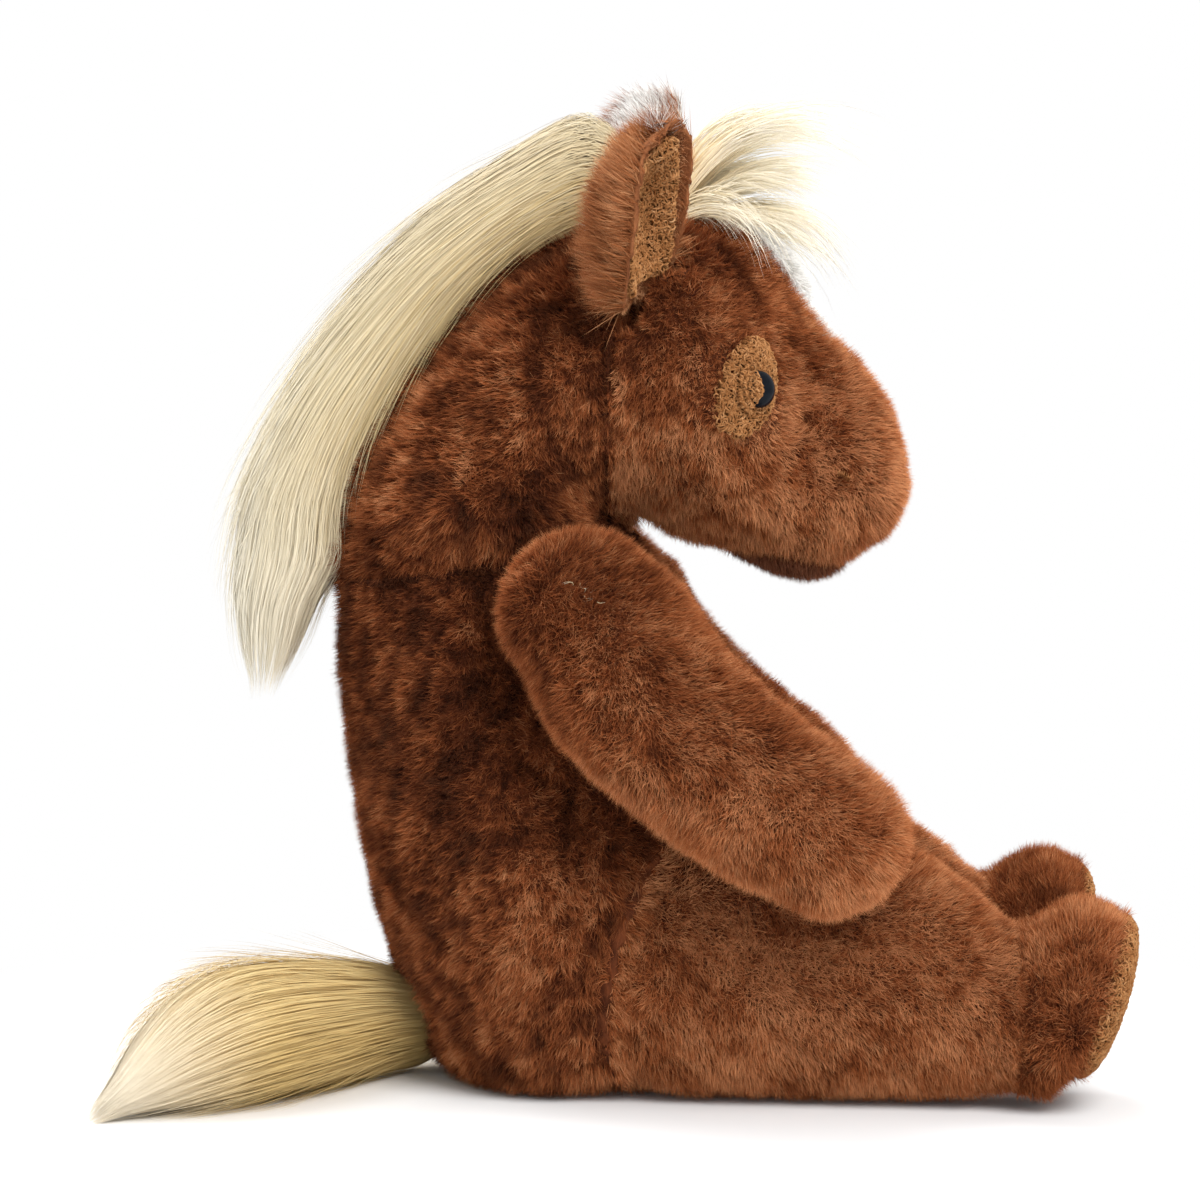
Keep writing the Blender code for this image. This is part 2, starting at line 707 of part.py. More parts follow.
def make_eye(side, joint, head):
    """Eye with its stem, locking washer and patch, and the holes that they need."""
    sign = SIDES[side]
    frame = head_frame(EYE_PLACE_SHARES[0], EYE_PLACE_SHARES[1], sign)
    radius = EYE_DIAMETER / 2
    stem = EYE_STEM_DIAMETER / 2
    base = PATCH_THICKNESS + 2 * GAP
    profile = [(0, base - EYE_STEM_LENGTH), (stem, base - EYE_STEM_LENGTH), (stem, base),
               (radius, base)]
    for step in range(1, DOME_RINGS):
        angle = math.pi / 2 * step / DOME_RINGS
        lift = EYE_DOME_HEIGHT * math.sin(angle)
        profile.append((radius * math.cos(angle), base + lift))
    profile.append((0, base + EYE_DOME_HEIGHT))
    piece(f"{side}_eye", turned("eye", profile), joint, BLACK, GLOSS_ROUGHNESS, frame)

    hole = stem + GAP
    outer = EYE_WASHER_DIAMETER / 2
    top = -EYE_WASHER_DEPTH
    bottom = top - EYE_WASHER_THICKNESS
    washer = turned("washer", ((hole, bottom), (outer, bottom), (outer, top), (hole, top)))
    piece(f"{side}_eye_washer", washer, joint, NYLON_WHITE, NYLON_ROUGHNESS, frame)

    deep = base - EYE_STEM_LENGTH - GAP
    slot = ((0, deep), (hole, deep), (hole, bottom - GAP), (outer + GAP, bottom - GAP),
            (outer + GAP, top + GAP), (hole, top + GAP), (hole, OVERRUN), (0, OVERRUN))
    combine(head, cutter(f"{side}_eye_hole", turned("eye_hole", slot), joint, frame))

    prism = oval_prism("patch_outline", PATCH_WIDTH, PATCH_LENGTH, 2 * OVERRUN)
    shift = Matrix.Translation((-PATCH_SET_BACK, 0, 0))
    patch = panel_on(f"{side}_eye_patch", head, joint, prism, frame @ shift,
                     PATCH_THICKNESS, GOLD)
    bore = ((0, -OVERRUN), (hole, -OVERRUN), (hole, OVERRUN), (0, OVERRUN))
    combine(patch, cutter(f"{side}_patch_hole", turned("patch_hole", bore), joint, frame))
    flat = ((0, base - GAP), (radius + GAP, base - GAP), (radius + GAP, OVERRUN), (0, OVERRUN))
    combine(patch, cutter(f"{side}_eye_bed", turned("eye_bed", flat), joint, frame))


def ear_rows(shares, length, width, thickness, centre):
    """Stations of an ear along its length, before it is curled."""
    rows = []
    for way, share in shares:
        half = share * width / 2
        edge = thickness / 2 * (1 - EAR_THINNING_SHARE * way)
        rows.append((way * length, centre + edge, way * length, centre - edge, half))
    return rows


def curl(point):
    """Curl an ear's width into an arc that opens toward +Z of its own frame, with a bowed back."""
    angle = point.y / EAR_CURL_RADIUS
    radius = EAR_CURL_RADIUS - point.z
    way = min(max(point.x / EAR_LENGTH, 0), 1)
    back = EAR_CURL_RADIUS - EAR_BACK_BOW * math.sin(math.pi * way)
    return Vector((point.x, radius * math.sin(angle), back - radius * math.cos(angle)))


def make_ear(side, head_joint, head):
    """Ear as a curled leaf on its base seam, with its lining in the hollow side."""
    sign = SIDES[side]
    base = head_frame(*EAR_PLACE_SHARES[side], sign).translation
    lean, twist, sweep = EAR_POSES_DEG[side]
    upright = Matrix.Rotation(math.radians(-90), 4, "Y")
    outward = Matrix.Rotation(math.radians(-lean * sign), 4, "X")
    swept = Matrix.Rotation(math.radians(sweep), 4, "Y")
    twisted = Matrix.Rotation(math.radians(-90 * sign + twist * sign), 4, "X")
    frame = Matrix.Translation(base) @ outward @ swept @ upright @ twisted
    joint = pivot(f"{side}_ear_fold", head_joint, frame)
    rows = ear_rows(EAR_SHARES, EAR_LENGTH, EAR_WIDTH, EAR_THICKNESS, 0)
    tip = EAR_TIP_SHARE * EAR_LENGTH
    sunk = [(row[0] - EAR_SINK, row[1], row[2] - EAR_SINK, row[3], row[4]) for row in rows]
    data = loft("ear", sunk, EAR_THICKNESS / 2, tip, 2, SMALL_RING_SIDES, curl)
    ear = piece(f"{side}_ear", data, joint, TAN)
    drop = EAR_CURL_RADIUS * math.sin(math.radians(EAR_FORWARD_DEG))
    lower = [(row[0] - drop, row[1], row[2] - drop, row[3], row[4]) for row in sunk]
    hollow = loft("ear_hollow", flared(lower, EAR_FORWARD_DEG, EAR_BACK_DEG, 0),
                  EAR_THICKNESS / 2 + SWEEP_GAP, 0.0, 1, SMALL_RING_SIDES, curl)
    combine(head, cutter(f"{side}_ear_hollow", hollow, joint))
    rows = ear_rows(EAR_SHARES[1:], EAR_LENGTH * LINING_LENGTH_SHARE,
                    EAR_WIDTH * LINING_WIDTH_SHARE, 2 * EAR_LINING_THICKNESS, EAR_THICKNESS / 2)
    data = loft("ear_lining", rows, 0.0, tip * LINING_LENGTH_SHARE, 2, SMALL_RING_SIDES, curl)
    lining = piece(f"{side}_ear_lining", data, joint, GOLD)
    combine(lining, cutter(f"{side}_lining_bed", grown(ear.data, 2 * GAP), joint))


def make_face_panels(joint, head):
    """Blaze, chin and forelock on the head."""
    frame = head_frame(BLAZE_PLACE_SHARE, 0.0, 1)
    outline = oval_prism("blaze_outline", BLAZE_LENGTH, BLAZE_WIDTH, 4 * OVERRUN)
    panel_on("blaze", head, joint, outline, frame, BLAZE_THICKNESS, WHITE)

    frame = head_frame(*CHIN_PLACE_SHARES, 1)
    outline = oval_prism("chin_outline", CHIN_LENGTH, CHIN_WIDTH, 4 * OVERRUN)
    panel_on("chin", head, joint, outline, frame, CHIN_THICKNESS, DARK_BROWN)

    top = head_frame(FORELOCK_PLACE_SHARE, 0.0, 1).translation
    lock_rows = []
    for way, high, low, width in FORELOCK_SHARES:
        x = top.x + way * FORELOCK_LENGTH
        lock_rows.append((x, top.z + high * FORELOCK_HEIGHT, x, top.z + low * FORELOCK_HEIGHT,
                          width * FORELOCK_WIDTH / 2))
    bulge = FORELOCK_LENGTH * FORELOCK_END_SHARE
    data = loft("forelock", lock_rows, bulge, bulge, 1, SMALL_RING_SIDES)
    forelock = piece("forelock", data, joint, CREAM)
    combine(forelock, cutter("forelock_bed", grown(head.data, GAP), joint))
    combine(forelock, cutter("forelock_on_blaze", grown(head.data, 2 * GAP + BLAZE_THICKNESS),
                             joint))


def make_arm(side, torso):
    """Arm in the plane that leans out from the shoulder; the torso is pressed flat by it."""
    sign = SIDES[side]
    location = (SHOULDER_X, sign * SHOULDER_Y, SHOULDER_Z)
    joint = pivot(f"{side}_shoulder", None, move_and_turn(location, (sign * ARM_SPLAY_DEG, 0, 0)))
    rows = []
    half_thickness = ARM_THICKNESS / 2
    for way, top, bottom, width in ARM_SHARES:
        half = width * half_thickness
        x = way * ARM_LENGTH
        rows.append((x, top * ARM_DEPTH / 2, x, bottom * ARM_DEPTH / 2, half, 0,
                     sign * (half - SHOULDER_PRESS)))
    data = loft("arm", rows, ARM_DEPTH * ARM_START_SHARE, ARM_DEPTH * ARM_END_SHARE, 1)
    drop = Matrix.Rotation(math.radians(ARM_DROP_DEG[side]), 4, "Y")
    arm = piece(f"{side}_arm", data, joint, TAN, matrix=drop)
    size = 2 * (ARM_LENGTH + ARM_DEPTH)
    shift = sign * (ARM_THICKNESS - GAP) / 2
    press = block("press", size, ARM_THICKNESS, size)
    inside = Matrix.Translation((0, -shift, 0))
    combine(arm, cutter(f"{side}_arm_press", press, joint, inside))
    outside = Matrix.Translation((0, shift, 0))
    combine(torso, cutter(f"{side}_torso_press", press.copy(), joint, outside))


def leg_rows():
    """Stations of the leg from the hip to the ankle seam, in the hip's frame."""
    half = THIGH_HEIGHT / 2
    rows = [(0, half, 0, -half, THIGH_WIDTH / 2)]
    for top_x, top_z, bottom_x, bottom_z, width in LEG_SHARES:
        rows.append((top_x * LEG_LENGTH, top_z * THIGH_HEIGHT, bottom_x * LEG_LENGTH,
                     bottom_z * THIGH_HEIGHT, width * THIGH_WIDTH / 2))
    low = -half + THIGH_HEIGHT * ANKLE_LIFT_SHARE
    rows.append((LEG_LENGTH, low + ANKLE_HEIGHT, LEG_LENGTH, low,
                 THIGH_WIDTH / 2 * ANKLE_WIDTH_SHARE))
    return rows


def floor_flat(item, joint):
    """Cut a form flat where it rests on the floor."""
    size = 2 * (LEG_LENGTH + FOOT_LENGTH + THIGH_HEIGHT)
    under = Matrix.Translation((0, 0, -THIGH_HEIGHT / 2 + FLOOR_FLAT - OVERRUN / 2))
    floor = block("floor", size, size, OVERRUN)
    combine(item, cutter(f"{item.name}_floor", floor, joint, under))


def make_leg(side, torso):
    """Leg, foot and sole on the hip, with the thigh's round end seated in the torso."""
    sign = SIDES[side]
    location = (HIP_X, sign * HIP_Y, THIGH_HEIGHT / 2 - FLOOR_FLAT)
    joint = pivot(f"{side}_hip", None, move_and_turn(location, (0, 0, sign * LEG_SPLAY_DEG)))
    rows = leg_rows()
    leg = piece(f"{side}_leg", loft("leg", rows, THIGH_HEIGHT / 2, 0.0, 1), joint, CHESTNUT)
    floor_flat(leg, joint)
    hollow = loft("hip_hollow", flared(rows, LEG_LIFT_DEG, 0, 0),
                  THIGH_HEIGHT / 2 + SWEEP_GAP, 0.0, 1)
    combine(torso, cutter(f"{side}_hip_hollow", hollow, joint))

    top_x, top_z, bottom_x, bottom_z, half_width = rows[-1]
    start = LEG_LENGTH + GAP
    floor = -THIGH_HEIGHT / 2
    foot_rows = [(start, top_z, start, bottom_z, half_width)]
    for top_x, top_z, bottom_x, bottom_z, width in FOOT_SHARES:
        foot_rows.append((start + top_x * FOOT_LENGTH, floor + top_z * FOOT_HEIGHT,
                          start + bottom_x * FOOT_LENGTH, floor + bottom_z * FOOT_HEIGHT,
                          width * FOOT_WIDTH / 2))
    foot = piece(f"{side}_foot", loft("foot", foot_rows), joint, TAN)
    floor_flat(foot, joint)

    rim = foot_rows[-1]
    outward = ring_normal(rim) * GAP
    middle_x = (rim[0] + rim[2]) / 2 + outward.x
    middle_z = (rim[1] + rim[3]) / 2 + outward.z
    reach_x = (rim[0] - rim[2]) / 2 * SOLE_INSET_SHARE
    reach_z = (rim[1] - rim[3]) / 2 * SOLE_INSET_SHARE
    sole_row = (middle_x + reach_x, middle_z + reach_z, middle_x - reach_x, middle_z - reach_z,
                rim[4] * SOLE_INSET_SHARE)
    edge = outward.normalized() * SOLE_BULGE / 4
    edge_row = (sole_row[0] + edge.x, sole_row[1] + edge.z, sole_row[2] + edge.x,
                sole_row[3] + edge.z, sole_row[4])
    data = loft("sole", (sole_row, edge_row), 0.0, SOLE_BULGE, 1)
    piece(f"{side}_sole", data, joint, GOLD)


def make_tail(torso):
    """Tail on its root seam, swept round to the horse's right as it lies."""
    location = (TAIL_ROOT_X, 0, TAIL_ROOT_Z)
    joint = pivot("tail_root", None, move_and_turn(location, (0, 0, TAIL_SWING_DEG)))
    rows = []
    for way, top, bottom, width in TAIL_SHARES:
        x = way * TAIL_LENGTH
        rows.append((x, top * TAIL_HEIGHT, x, -bottom * TAIL_ROOT_Z, width * TAIL_WIDTH / 2))
    data = loft("tail", rows, rows[0][4], TAIL_LENGTH * TAIL_TIP_SHARE, 1)
    piece("tail", data, joint, CREAM)
    hollow = loft("tail_hollow", flared(rows, 0, 0, TAIL_SPREAD_DEG), rows[0][4] + SWEEP_GAP,
                  0.0, 1)
    combine(torso, cutter("tail_hollow", hollow, joint))


def main():
    clear_scene()
    torso = make_torso()
    neck_joint, neck = make_neck()
    make_mane(neck_joint, neck)
    head_joint, head = make_head(neck_joint)
    make_face_panels(head_joint, head)
    for side in SIDES:
        make_eye(side, head_joint, head)
        make_ear(side, head_joint, head)
        make_arm(side, torso)
        make_leg(side, torso)
    make_tail(torso)
    for item in (torso, head):
        weld(item)


main()
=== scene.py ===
"""Looks of the seated plush horse: its pile, mane, curly panels, eyes and the studio round it."""

import math

import bpy
import numpy as np
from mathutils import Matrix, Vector
from mathutils.bvhtree import BVHTree
from mathutils.kdtree import KDTree


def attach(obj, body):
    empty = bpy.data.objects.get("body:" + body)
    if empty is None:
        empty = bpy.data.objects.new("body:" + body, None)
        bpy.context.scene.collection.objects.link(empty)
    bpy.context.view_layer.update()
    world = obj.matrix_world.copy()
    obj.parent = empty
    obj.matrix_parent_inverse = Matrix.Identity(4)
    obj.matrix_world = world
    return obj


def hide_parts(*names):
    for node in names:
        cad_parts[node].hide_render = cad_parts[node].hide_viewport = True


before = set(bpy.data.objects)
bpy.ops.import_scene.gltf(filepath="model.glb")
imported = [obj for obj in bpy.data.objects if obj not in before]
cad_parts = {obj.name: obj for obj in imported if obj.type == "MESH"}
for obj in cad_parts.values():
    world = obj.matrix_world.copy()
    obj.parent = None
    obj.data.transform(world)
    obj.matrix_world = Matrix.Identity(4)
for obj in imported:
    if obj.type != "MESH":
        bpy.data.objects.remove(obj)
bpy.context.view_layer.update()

# Lengths are in metres. The random numbers are seeded, so every run gives the same strands.
RANDOM = np.random.default_rng(41)
UP = np.array((0.0, 0.0, 1.0))
SIDEWAYS = np.array((0.0, 1.0, 0.0))

STRAND_CLEARANCE = 0.0002    # lowest height of strands over the floor
SKIN_CLEARANCE = 0.0012      # and of the skins under them
RAY_STEP = 0.00005           # a search goes on this far beyond a surface that it meets
ROOM_REACH = 0.009           # how far the room over a skin is searched
COVER_REACH = 0.008          # and the depth under the outer surface
SEAM_REACH = 0.0018          # pieces closer than this are sewn together
SEAM_NEAR, SEAM_FAR = 0.005, 0.009    # a seam shapes a skin fully, and up to here at all
SEAM_TUCK = 0.0012           # how far a skin is pushed into its seam
SEAM_OVERLAP = 0.0009        # and beyond its solid where it is sewn
LUMP_SIZE, LUMP_HEIGHT = 0.018, 0.0007    # soft lumps of the filling
PATCH_NEAR, PATCH_FAR = 0.014, 0.026      # reach of the shorter pile round the eye patches
BLAZE_END = (0.245, 0.269)   # heights between which white strands end the blaze
PILE_WIDTH = 0.00026
PILE_CHUNK = 150000          # most strands of pile in one piece
TUFT_SIZE = 0.0026
HAIR_WIDTH = 0.00029
HAIR_CHUNK = 9000
LOCK_ANGLES = 26             # locks round a bundle of hair
CURL_RADIUS = 0.00080
CURL_WIDTH = 0.00058
CURL_STEPS = 7
YARN_SIDES = 3

# Colour chart of the strands: along it from root to tip, across it from dark to pale
CHART = "OFBake"
CHART_EDGE = 0.002
TONE_HALF_WIDTH = 0.0012
FROST = 2.0                  # tone of the white strands: backs of the ears, end of the blaze

# Planes of the round seams: a point of the plane and its normal
NECK_SEAM = ((-0.0448, 0.0, 0.1725), (-0.1478, 0.0, 0.9890))
HEAD_SEAM = ((-0.0045, 0.0, 0.2356), (1.0, 0.0, 0.0))

# Eye frames on the head: forward, sideways, outward and the middle of the patch
EYE_FRAMES = {
    "right": ((0.6939, 0.55075, -0.46387), (0.30196, 0.36225, 0.88181),
              (0.65369, -0.75196, 0.08506), (0.04192, -0.0518, 0.22992)),
    "left": ((0.6939, -0.55075, -0.46387), (-0.30196, 0.36225, -0.88181),
             (0.65369, 0.75196, 0.08506), (0.04192, 0.0518, 0.22992)),
}

# Ear frames: along the ear, across it, its open side, and the middle of its base
EAR_FRAMES = {
    "right": ((0.20791, -0.48907, 0.84710), (-0.45921, -0.81346, -0.35694),
              (0.86365, -0.31479, -0.39372), (0.00235, -0.04805, 0.26104)),
    "left": ((0.13917, 0.49513, 0.85760), (0.46490, -0.79732, 0.38489),
             (0.87435, 0.34513, -0.34116), (0.00434, 0.03392, 0.27741)),
}

# Mane from the head down: top x and z, bottom x and z, half width
MANE_ROWS = (
    (0.0080, 0.3000, 0.0060, 0.2860, 0.0045),
    (-0.0098, 0.3214, -0.0081, 0.2792, 0.0151), (-0.0378, 0.3076, -0.0275, 0.2703, 0.0166),
    (-0.0682, 0.2844, -0.0481, 0.2536, 0.0176), (-0.0925, 0.2572, -0.0639, 0.2342, 0.0180),
    (-0.1126, 0.2267, -0.0777, 0.2133, 0.0180), (-0.1257, 0.1958, -0.0872, 0.1917, 0.0169),
    (-0.1290, 0.1719, -0.0903, 0.1745, 0.0151), (-0.1292, 0.1577, -0.0989, 0.1623, 0.0137),
    (-0.1286, 0.1512, -0.1023, 0.1551, 0.0126), (-0.1266, 0.1392, -0.1080, 0.1418, 0.0086),
    (-0.1236, 0.1290, -0.1146, 0.1304, 0.0040),
)

# Tail from its root: middle x and y, top and bottom z, half width
TAIL_ROWS = (
    (-0.0710, 0.0000, 0.0343, 0.0008, 0.0129), (-0.0868, -0.0140, 0.0393, 0.0010, 0.0170),
    (-0.1026, -0.0279, 0.0418, 0.0012, 0.0212), (-0.1193, -0.0427, 0.0427, 0.0014, 0.0230),
    (-0.1342, -0.0559, 0.0397, 0.0014, 0.0212), (-0.1460, -0.0662, 0.0310, 0.0014, 0.0160),
    (-0.1545, -0.0738, 0.0205, 0.0012, 0.0105), (-0.1600, -0.0786, 0.0125, 0.0010, 0.0062),
    (-0.1640, -0.0820, 0.0065, 0.0008, 0.0026),
)
TAIL_SIDEWAYS = np.array((0.6626, -0.7490, 0.0))

# Locks of the forelock in the side view, x and z from root to tip: upper, middle and lower
FORELOCK_GUIDES = (
    ((0.006, 0.284), (0.017, 0.290), (0.027, 0.302), (0.037, 0.3105), (0.047, 0.3150),
     (0.059, 0.3170), (0.072, 0.3150), (0.084, 0.3080)),
    ((0.006, 0.283), (0.017, 0.286), (0.027, 0.2905), (0.037, 0.2970), (0.049, 0.3015),
     (0.060, 0.3015), (0.066, 0.3000), (0.073, 0.2970)),
    ((0.006, 0.281), (0.017, 0.283), (0.027, 0.2845), (0.039, 0.2875), (0.051, 0.2880),
     (0.063, 0.2850), (0.073, 0.2775), (0.080, 0.2660)),
)
FORELOCK_RADII = (0.0032, 0.0032, 0.0022, 0.0015, 0.0010, 0.0007)

# Creases of the stuffed pieces: a plane or a line in the side view, half width and depth
CREASES = {
    "torso": ((NECK_SEAM, 0.006, 0.0022),
              (((-0.032, 0.112), (-0.022, 0.104), (-0.013, 0.098)), 0.006, 0.0022),
              (((0.002, 0.040), (0.012, 0.033), (0.024, 0.028)), 0.006, 0.0020)),
    "neck": ((NECK_SEAM, 0.006, 0.0022), (HEAD_SEAM, 0.007, 0.0030)),
    "head": ((HEAD_SEAM, 0.007, 0.0028),
             (((0.0570, 0.2210), (0.0605, 0.2190)), 0.0040, 0.0030),
             (((0.0700, 0.2030), (0.0740, 0.2010)), 0.0040, 0.0030)),
}

# Soft patches of lighter or darker pile: middle, radius and change of tone, on both sides. The
# small dark spots at the dimple and the nostril are painted shade, and the dark patches at the
# shoulder's rear edge are painted shade over a lit rim as well as the torso's darker tone.
SHADES = {
    "torso": (((-0.010, 0.07, 0.030), 0.055, 0.27), ((-0.085, 0.0, 0.090), 0.035, 0.12),
              ((-0.060, 0.07, 0.135), 0.045, -0.05), ((-0.015, 0.06, 0.085), 0.040, 0.04)),
    "neck": (((-0.030, 0.05, 0.250), 0.040, 0.26), ((-0.075, 0.03, 0.215), 0.030, 0.10)),
    "head": (((0.080, 0.03, 0.195), 0.045, 0.26), ((0.010, 0.05, 0.205), 0.040, 0.06),
             # The three small dark patches by the muzzle darken the dimple, a streak beside it and
             # the nostril; at the dimple and the nostril they are painted shade.
             ((0.030, 0.04, 0.262), 0.034, -0.20), ((0.0590, 0.03, 0.2200), 0.0035, -0.45),
             ((0.0540, 0.03, 0.2235), 0.0045, -0.30), ((0.0720, 0.03, 0.2020), 0.0030, -0.45)),
    # The three darker patches at the shoulder's rear edge are painted shade over its lit rim, and
    # partly the torso's darker tone.
    "arm": (((0.075, 0.07, 0.100), 0.035, 0.08), ((-0.038, 0.08, 0.158), 0.020, -0.28),
            ((-0.026, 0.08, 0.130), 0.016, -0.18), ((-0.008, 0.08, 0.168), 0.022, -0.02)),
    "leg": (((0.110, 0.06, 0.040), 0.040, 0.04),),
    "foot": (((0.130, 0.06, 0.060), 0.030, 0.05),),
}

# The way that the pile is combed on each kind of piece
COMBED = {
    "torso": (-0.15, 0.0, -1.0), "neck": (-0.35, 0.0, -0.85), "head": (0.35, 0.0, -0.75),
    "arm": (0.70, 0.0, -0.72), "leg": (0.85, 0.0, -0.45), "foot": (0.35, 0.0, 0.75),
}
COMBED_ELSEWHERE = (0.4, 0.0, -0.9)

# Mottling of the pile from broad to fine: strength, size, seed, and whether it follows the comb
MOTTLES = ((0.6, 0.034, 11, False), (0.6, 0.012, 12, False), (1.0, 0.0048, 13, True),
           (1.1, 0.0022, 14, False))


# Numbers that vary smoothly or at random, the same on every run

def hashed(cells, seed):
    """Repeatable numbers from 0 to 1 for rows of whole numbers."""
    mixed = (cells[:, 0] * 73856093) ^ (cells[:, 1] * 19349663) ^ (cells[:, 2] * 83492791)
    mixed = (mixed ^ (seed * 40503)) & 0x7FFFFFFF
    mixed = ((mixed ^ (mixed >> 15)) * 73244475) & 0x7FFFFFFF
    mixed = ((mixed ^ (mixed >> 13)) * 73244475) & 0x7FFFFFFF
    return ((mixed ^ (mixed >> 16)) & 0xFFFFFF) / 0x1000000


def lumps(points, size, seed):
    """Smooth noise from 0 to 1 at points, with lumps of one size."""
    scaled = points / size + 1000.0
    cells = np.floor(scaled).astype(np.int64)
    part = scaled - cells
    part = part * part * (3 - 2 * part)
    total = np.zeros(len(points))
    for corner in np.ndindex(2, 2, 2):
        weight = np.ones(len(points))
        for axis, high in enumerate(corner):
            weight = weight * (part[:, axis] if high else 1 - part[:, axis])
        total += weight * hashed(cells + np.array(corner), seed)
    return total


def swirl(points, size, seed):
    """Three lumpy values from -1 to 1 at each point."""
    return np.stack([2 * lumps(points, size, seed + k) - 1 for k in range(3)], axis=1)


def unit(vectors):
    """The vectors at length one."""
    lengths = np.linalg.norm(vectors, axis=-1, keepdims=True)
    return vectors / np.maximum(lengths, 1e-9)


def along_surface(vectors, normals):
    """The part of each vector that lies in the surface, at length one."""
    return unit(vectors - normals * np.sum(vectors * normals, axis=1)[:, None])


def eased(low, high, values):
    """A share that rises smoothly from 0 to 1 while values go from low to high."""
    share = np.clip((values - low) / (high - low), 0, 1)
    return share * share * (3 - 2 * share)


# Meshes from rows of points

def object_from(name, points, loops, sizes, uvs, material, body):
    """A mesh object built from plain arrays, with one material, which rides a body."""
    mesh = bpy.data.meshes.new(name)
    mesh.vertices.add(len(points))
    mesh.vertices.foreach_set("co", np.ascontiguousarray(points, dtype=np.float32).ravel())
    mesh.loops.add(len(loops))
    mesh.loops.foreach_set("vertex_index", loops.astype(np.int32))
    starts = np.concatenate(([0], np.cumsum(sizes)[:-1]))
    mesh.polygons.add(len(sizes))
    mesh.polygons.foreach_set("loop_start", starts.astype(np.int32))
    mesh.polygons.foreach_set("use_smooth", np.ones(len(sizes), dtype=bool))
    if uvs is not None:
        uvs = np.clip(uvs.reshape(-1, 2), CHART_EDGE, 1 - CHART_EDGE)
        layer = mesh.uv_layers.new(name=CHART)
        layer.data.foreach_set("uv", uvs[loops].astype(np.float32).ravel())
    mesh.update(calc_edges=True)
    mesh.validate()
    mesh.materials.append(material)
    item = bpy.data.objects.new(name, mesh)
    bpy.context.scene.collection.objects.link(item)
    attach(item, body)
    return item


def ribbons(name, paths, outward, widths, tones, material, body, slot, ways=None):
    """Flat strands along paths of equal count, tapering to a point and lying on their volume."""
    count, steps, _ = paths.shape
    tangents = unit(np.gradient(paths, axis=1))
    across = unit(np.cross(tangents, outward))
    share = np.linspace(0, 1, steps)
    taper = np.clip(1.25 * (1 - share ** 3), 0.0, 1.0)
    half = across * (widths[:, None] * taper[None, :] / 2)[..., None]
    points = np.stack((paths - half, paths + half), axis=2).reshape(-1, 3)
    points[:, 2] = np.maximum(points[:, 2], STRAND_CLEARANCE)
    base = (np.arange(count)[:, None] * steps + np.arange(steps - 1)[None, :]) * 2
    loops = np.stack((base, base + 1, base + 3, base + 2), axis=2).reshape(-1)
    sizes = np.full(count * (steps - 1), 4)
    uvs = np.empty((count, steps, 2, 2))
    uvs[..., 0] = share[None, :, None] if ways is None else ways[..., None]
    uvs[..., 1] = tones[:, None, None] + np.array((-TONE_HALF_WIDTH, TONE_HALF_WIDTH))
    return object_from(name, points, loops, sizes, uvs, material, body)


def blades(name, roots, tips, across, widths, tones, material, body):
    """Short strands of pile, each a slim straight blade that ends in a point."""
    count = len(roots)
    half = across * (widths / 2)[:, None]
    points = np.stack((roots - half, roots + half, tips), axis=1).reshape(-1, 3)
    points[:, 2] = np.maximum(points[:, 2], STRAND_CLEARANCE)
    uvs = np.empty((count, 3, 2))
    uvs[..., 0] = (0.0, 0.0, 1.0)
    uvs[..., 1] = tones[:, None] + np.array((-TONE_HALF_WIDTH, TONE_HALF_WIDTH, 0.0))
    object_from(name, points, np.arange(count * 3), np.full(count, 3), uvs, material, body)


# Materials

def math_node(tree, operation, first, second=None, third=None):
    """Output of a node that works on numbers or on outputs of other nodes."""
    node = tree.nodes.new("ShaderNodeMath")
    node.operation = operation
    for index, value in enumerate((first, second, third)):
        if isinstance(value, (int, float)):
            node.inputs[index].default_value = value
        elif value is not None:
            tree.links.new(value, node.inputs[index])
    return node.outputs[0]


def mix_colors(tree, share, first, second, blend="MIX"):
    """Output that goes from a first colour to a second by a share."""
    node = tree.nodes.new("ShaderNodeMix")
    node.data_type = "RGBA"
    node.blend_type = blend
    for place, value in ((0, share), (6, first), (7, second)):
        if isinstance(value, (int, float)):
            node.inputs[place].default_value = value
        elif isinstance(value, tuple):
            node.inputs[place].default_value = (*value, 1.0)
        else:
            tree.links.new(value, node.inputs[place])
    return node.outputs[2]


def band(tree, value, low, high):
    """A share that rises from 0 to 1 while a value goes from low to high."""
    node = tree.nodes.new("ShaderNodeMapRange")
    node.interpolation_type = "SMOOTHSTEP"
    node.inputs["From Min"].default_value = low
    node.inputs["From Max"].default_value = high
    tree.links.new(value, node.inputs["Value"])
    return node.outputs["Result"]


def noise(tree, place, size=1.0, detail=2.0):
    """Output of smooth noise over places, and its node."""
    node = tree.nodes.new("ShaderNodeTexNoise")
    node.inputs["Scale"].default_value = size
    node.inputs["Detail"].default_value = detail
    tree.links.new(place, node.inputs["Vector"])
    return node.outputs["Fac"], node


def own_place(tree):
    """Places in an object's own coordinates."""
    return tree.nodes.new("ShaderNodeTexCoord").outputs["Object"]


def raise_grain(tree, shader, height, strength, depth):
    """Relief on a material."""
    bump = tree.nodes.new("ShaderNodeBump")
    bump.inputs["Strength"].default_value = strength
    bump.inputs["Distance"].default_value = depth
    tree.links.new(height, bump.inputs["Height"])
    tree.links.new(bump.outputs[0], shader.inputs["Normal"])


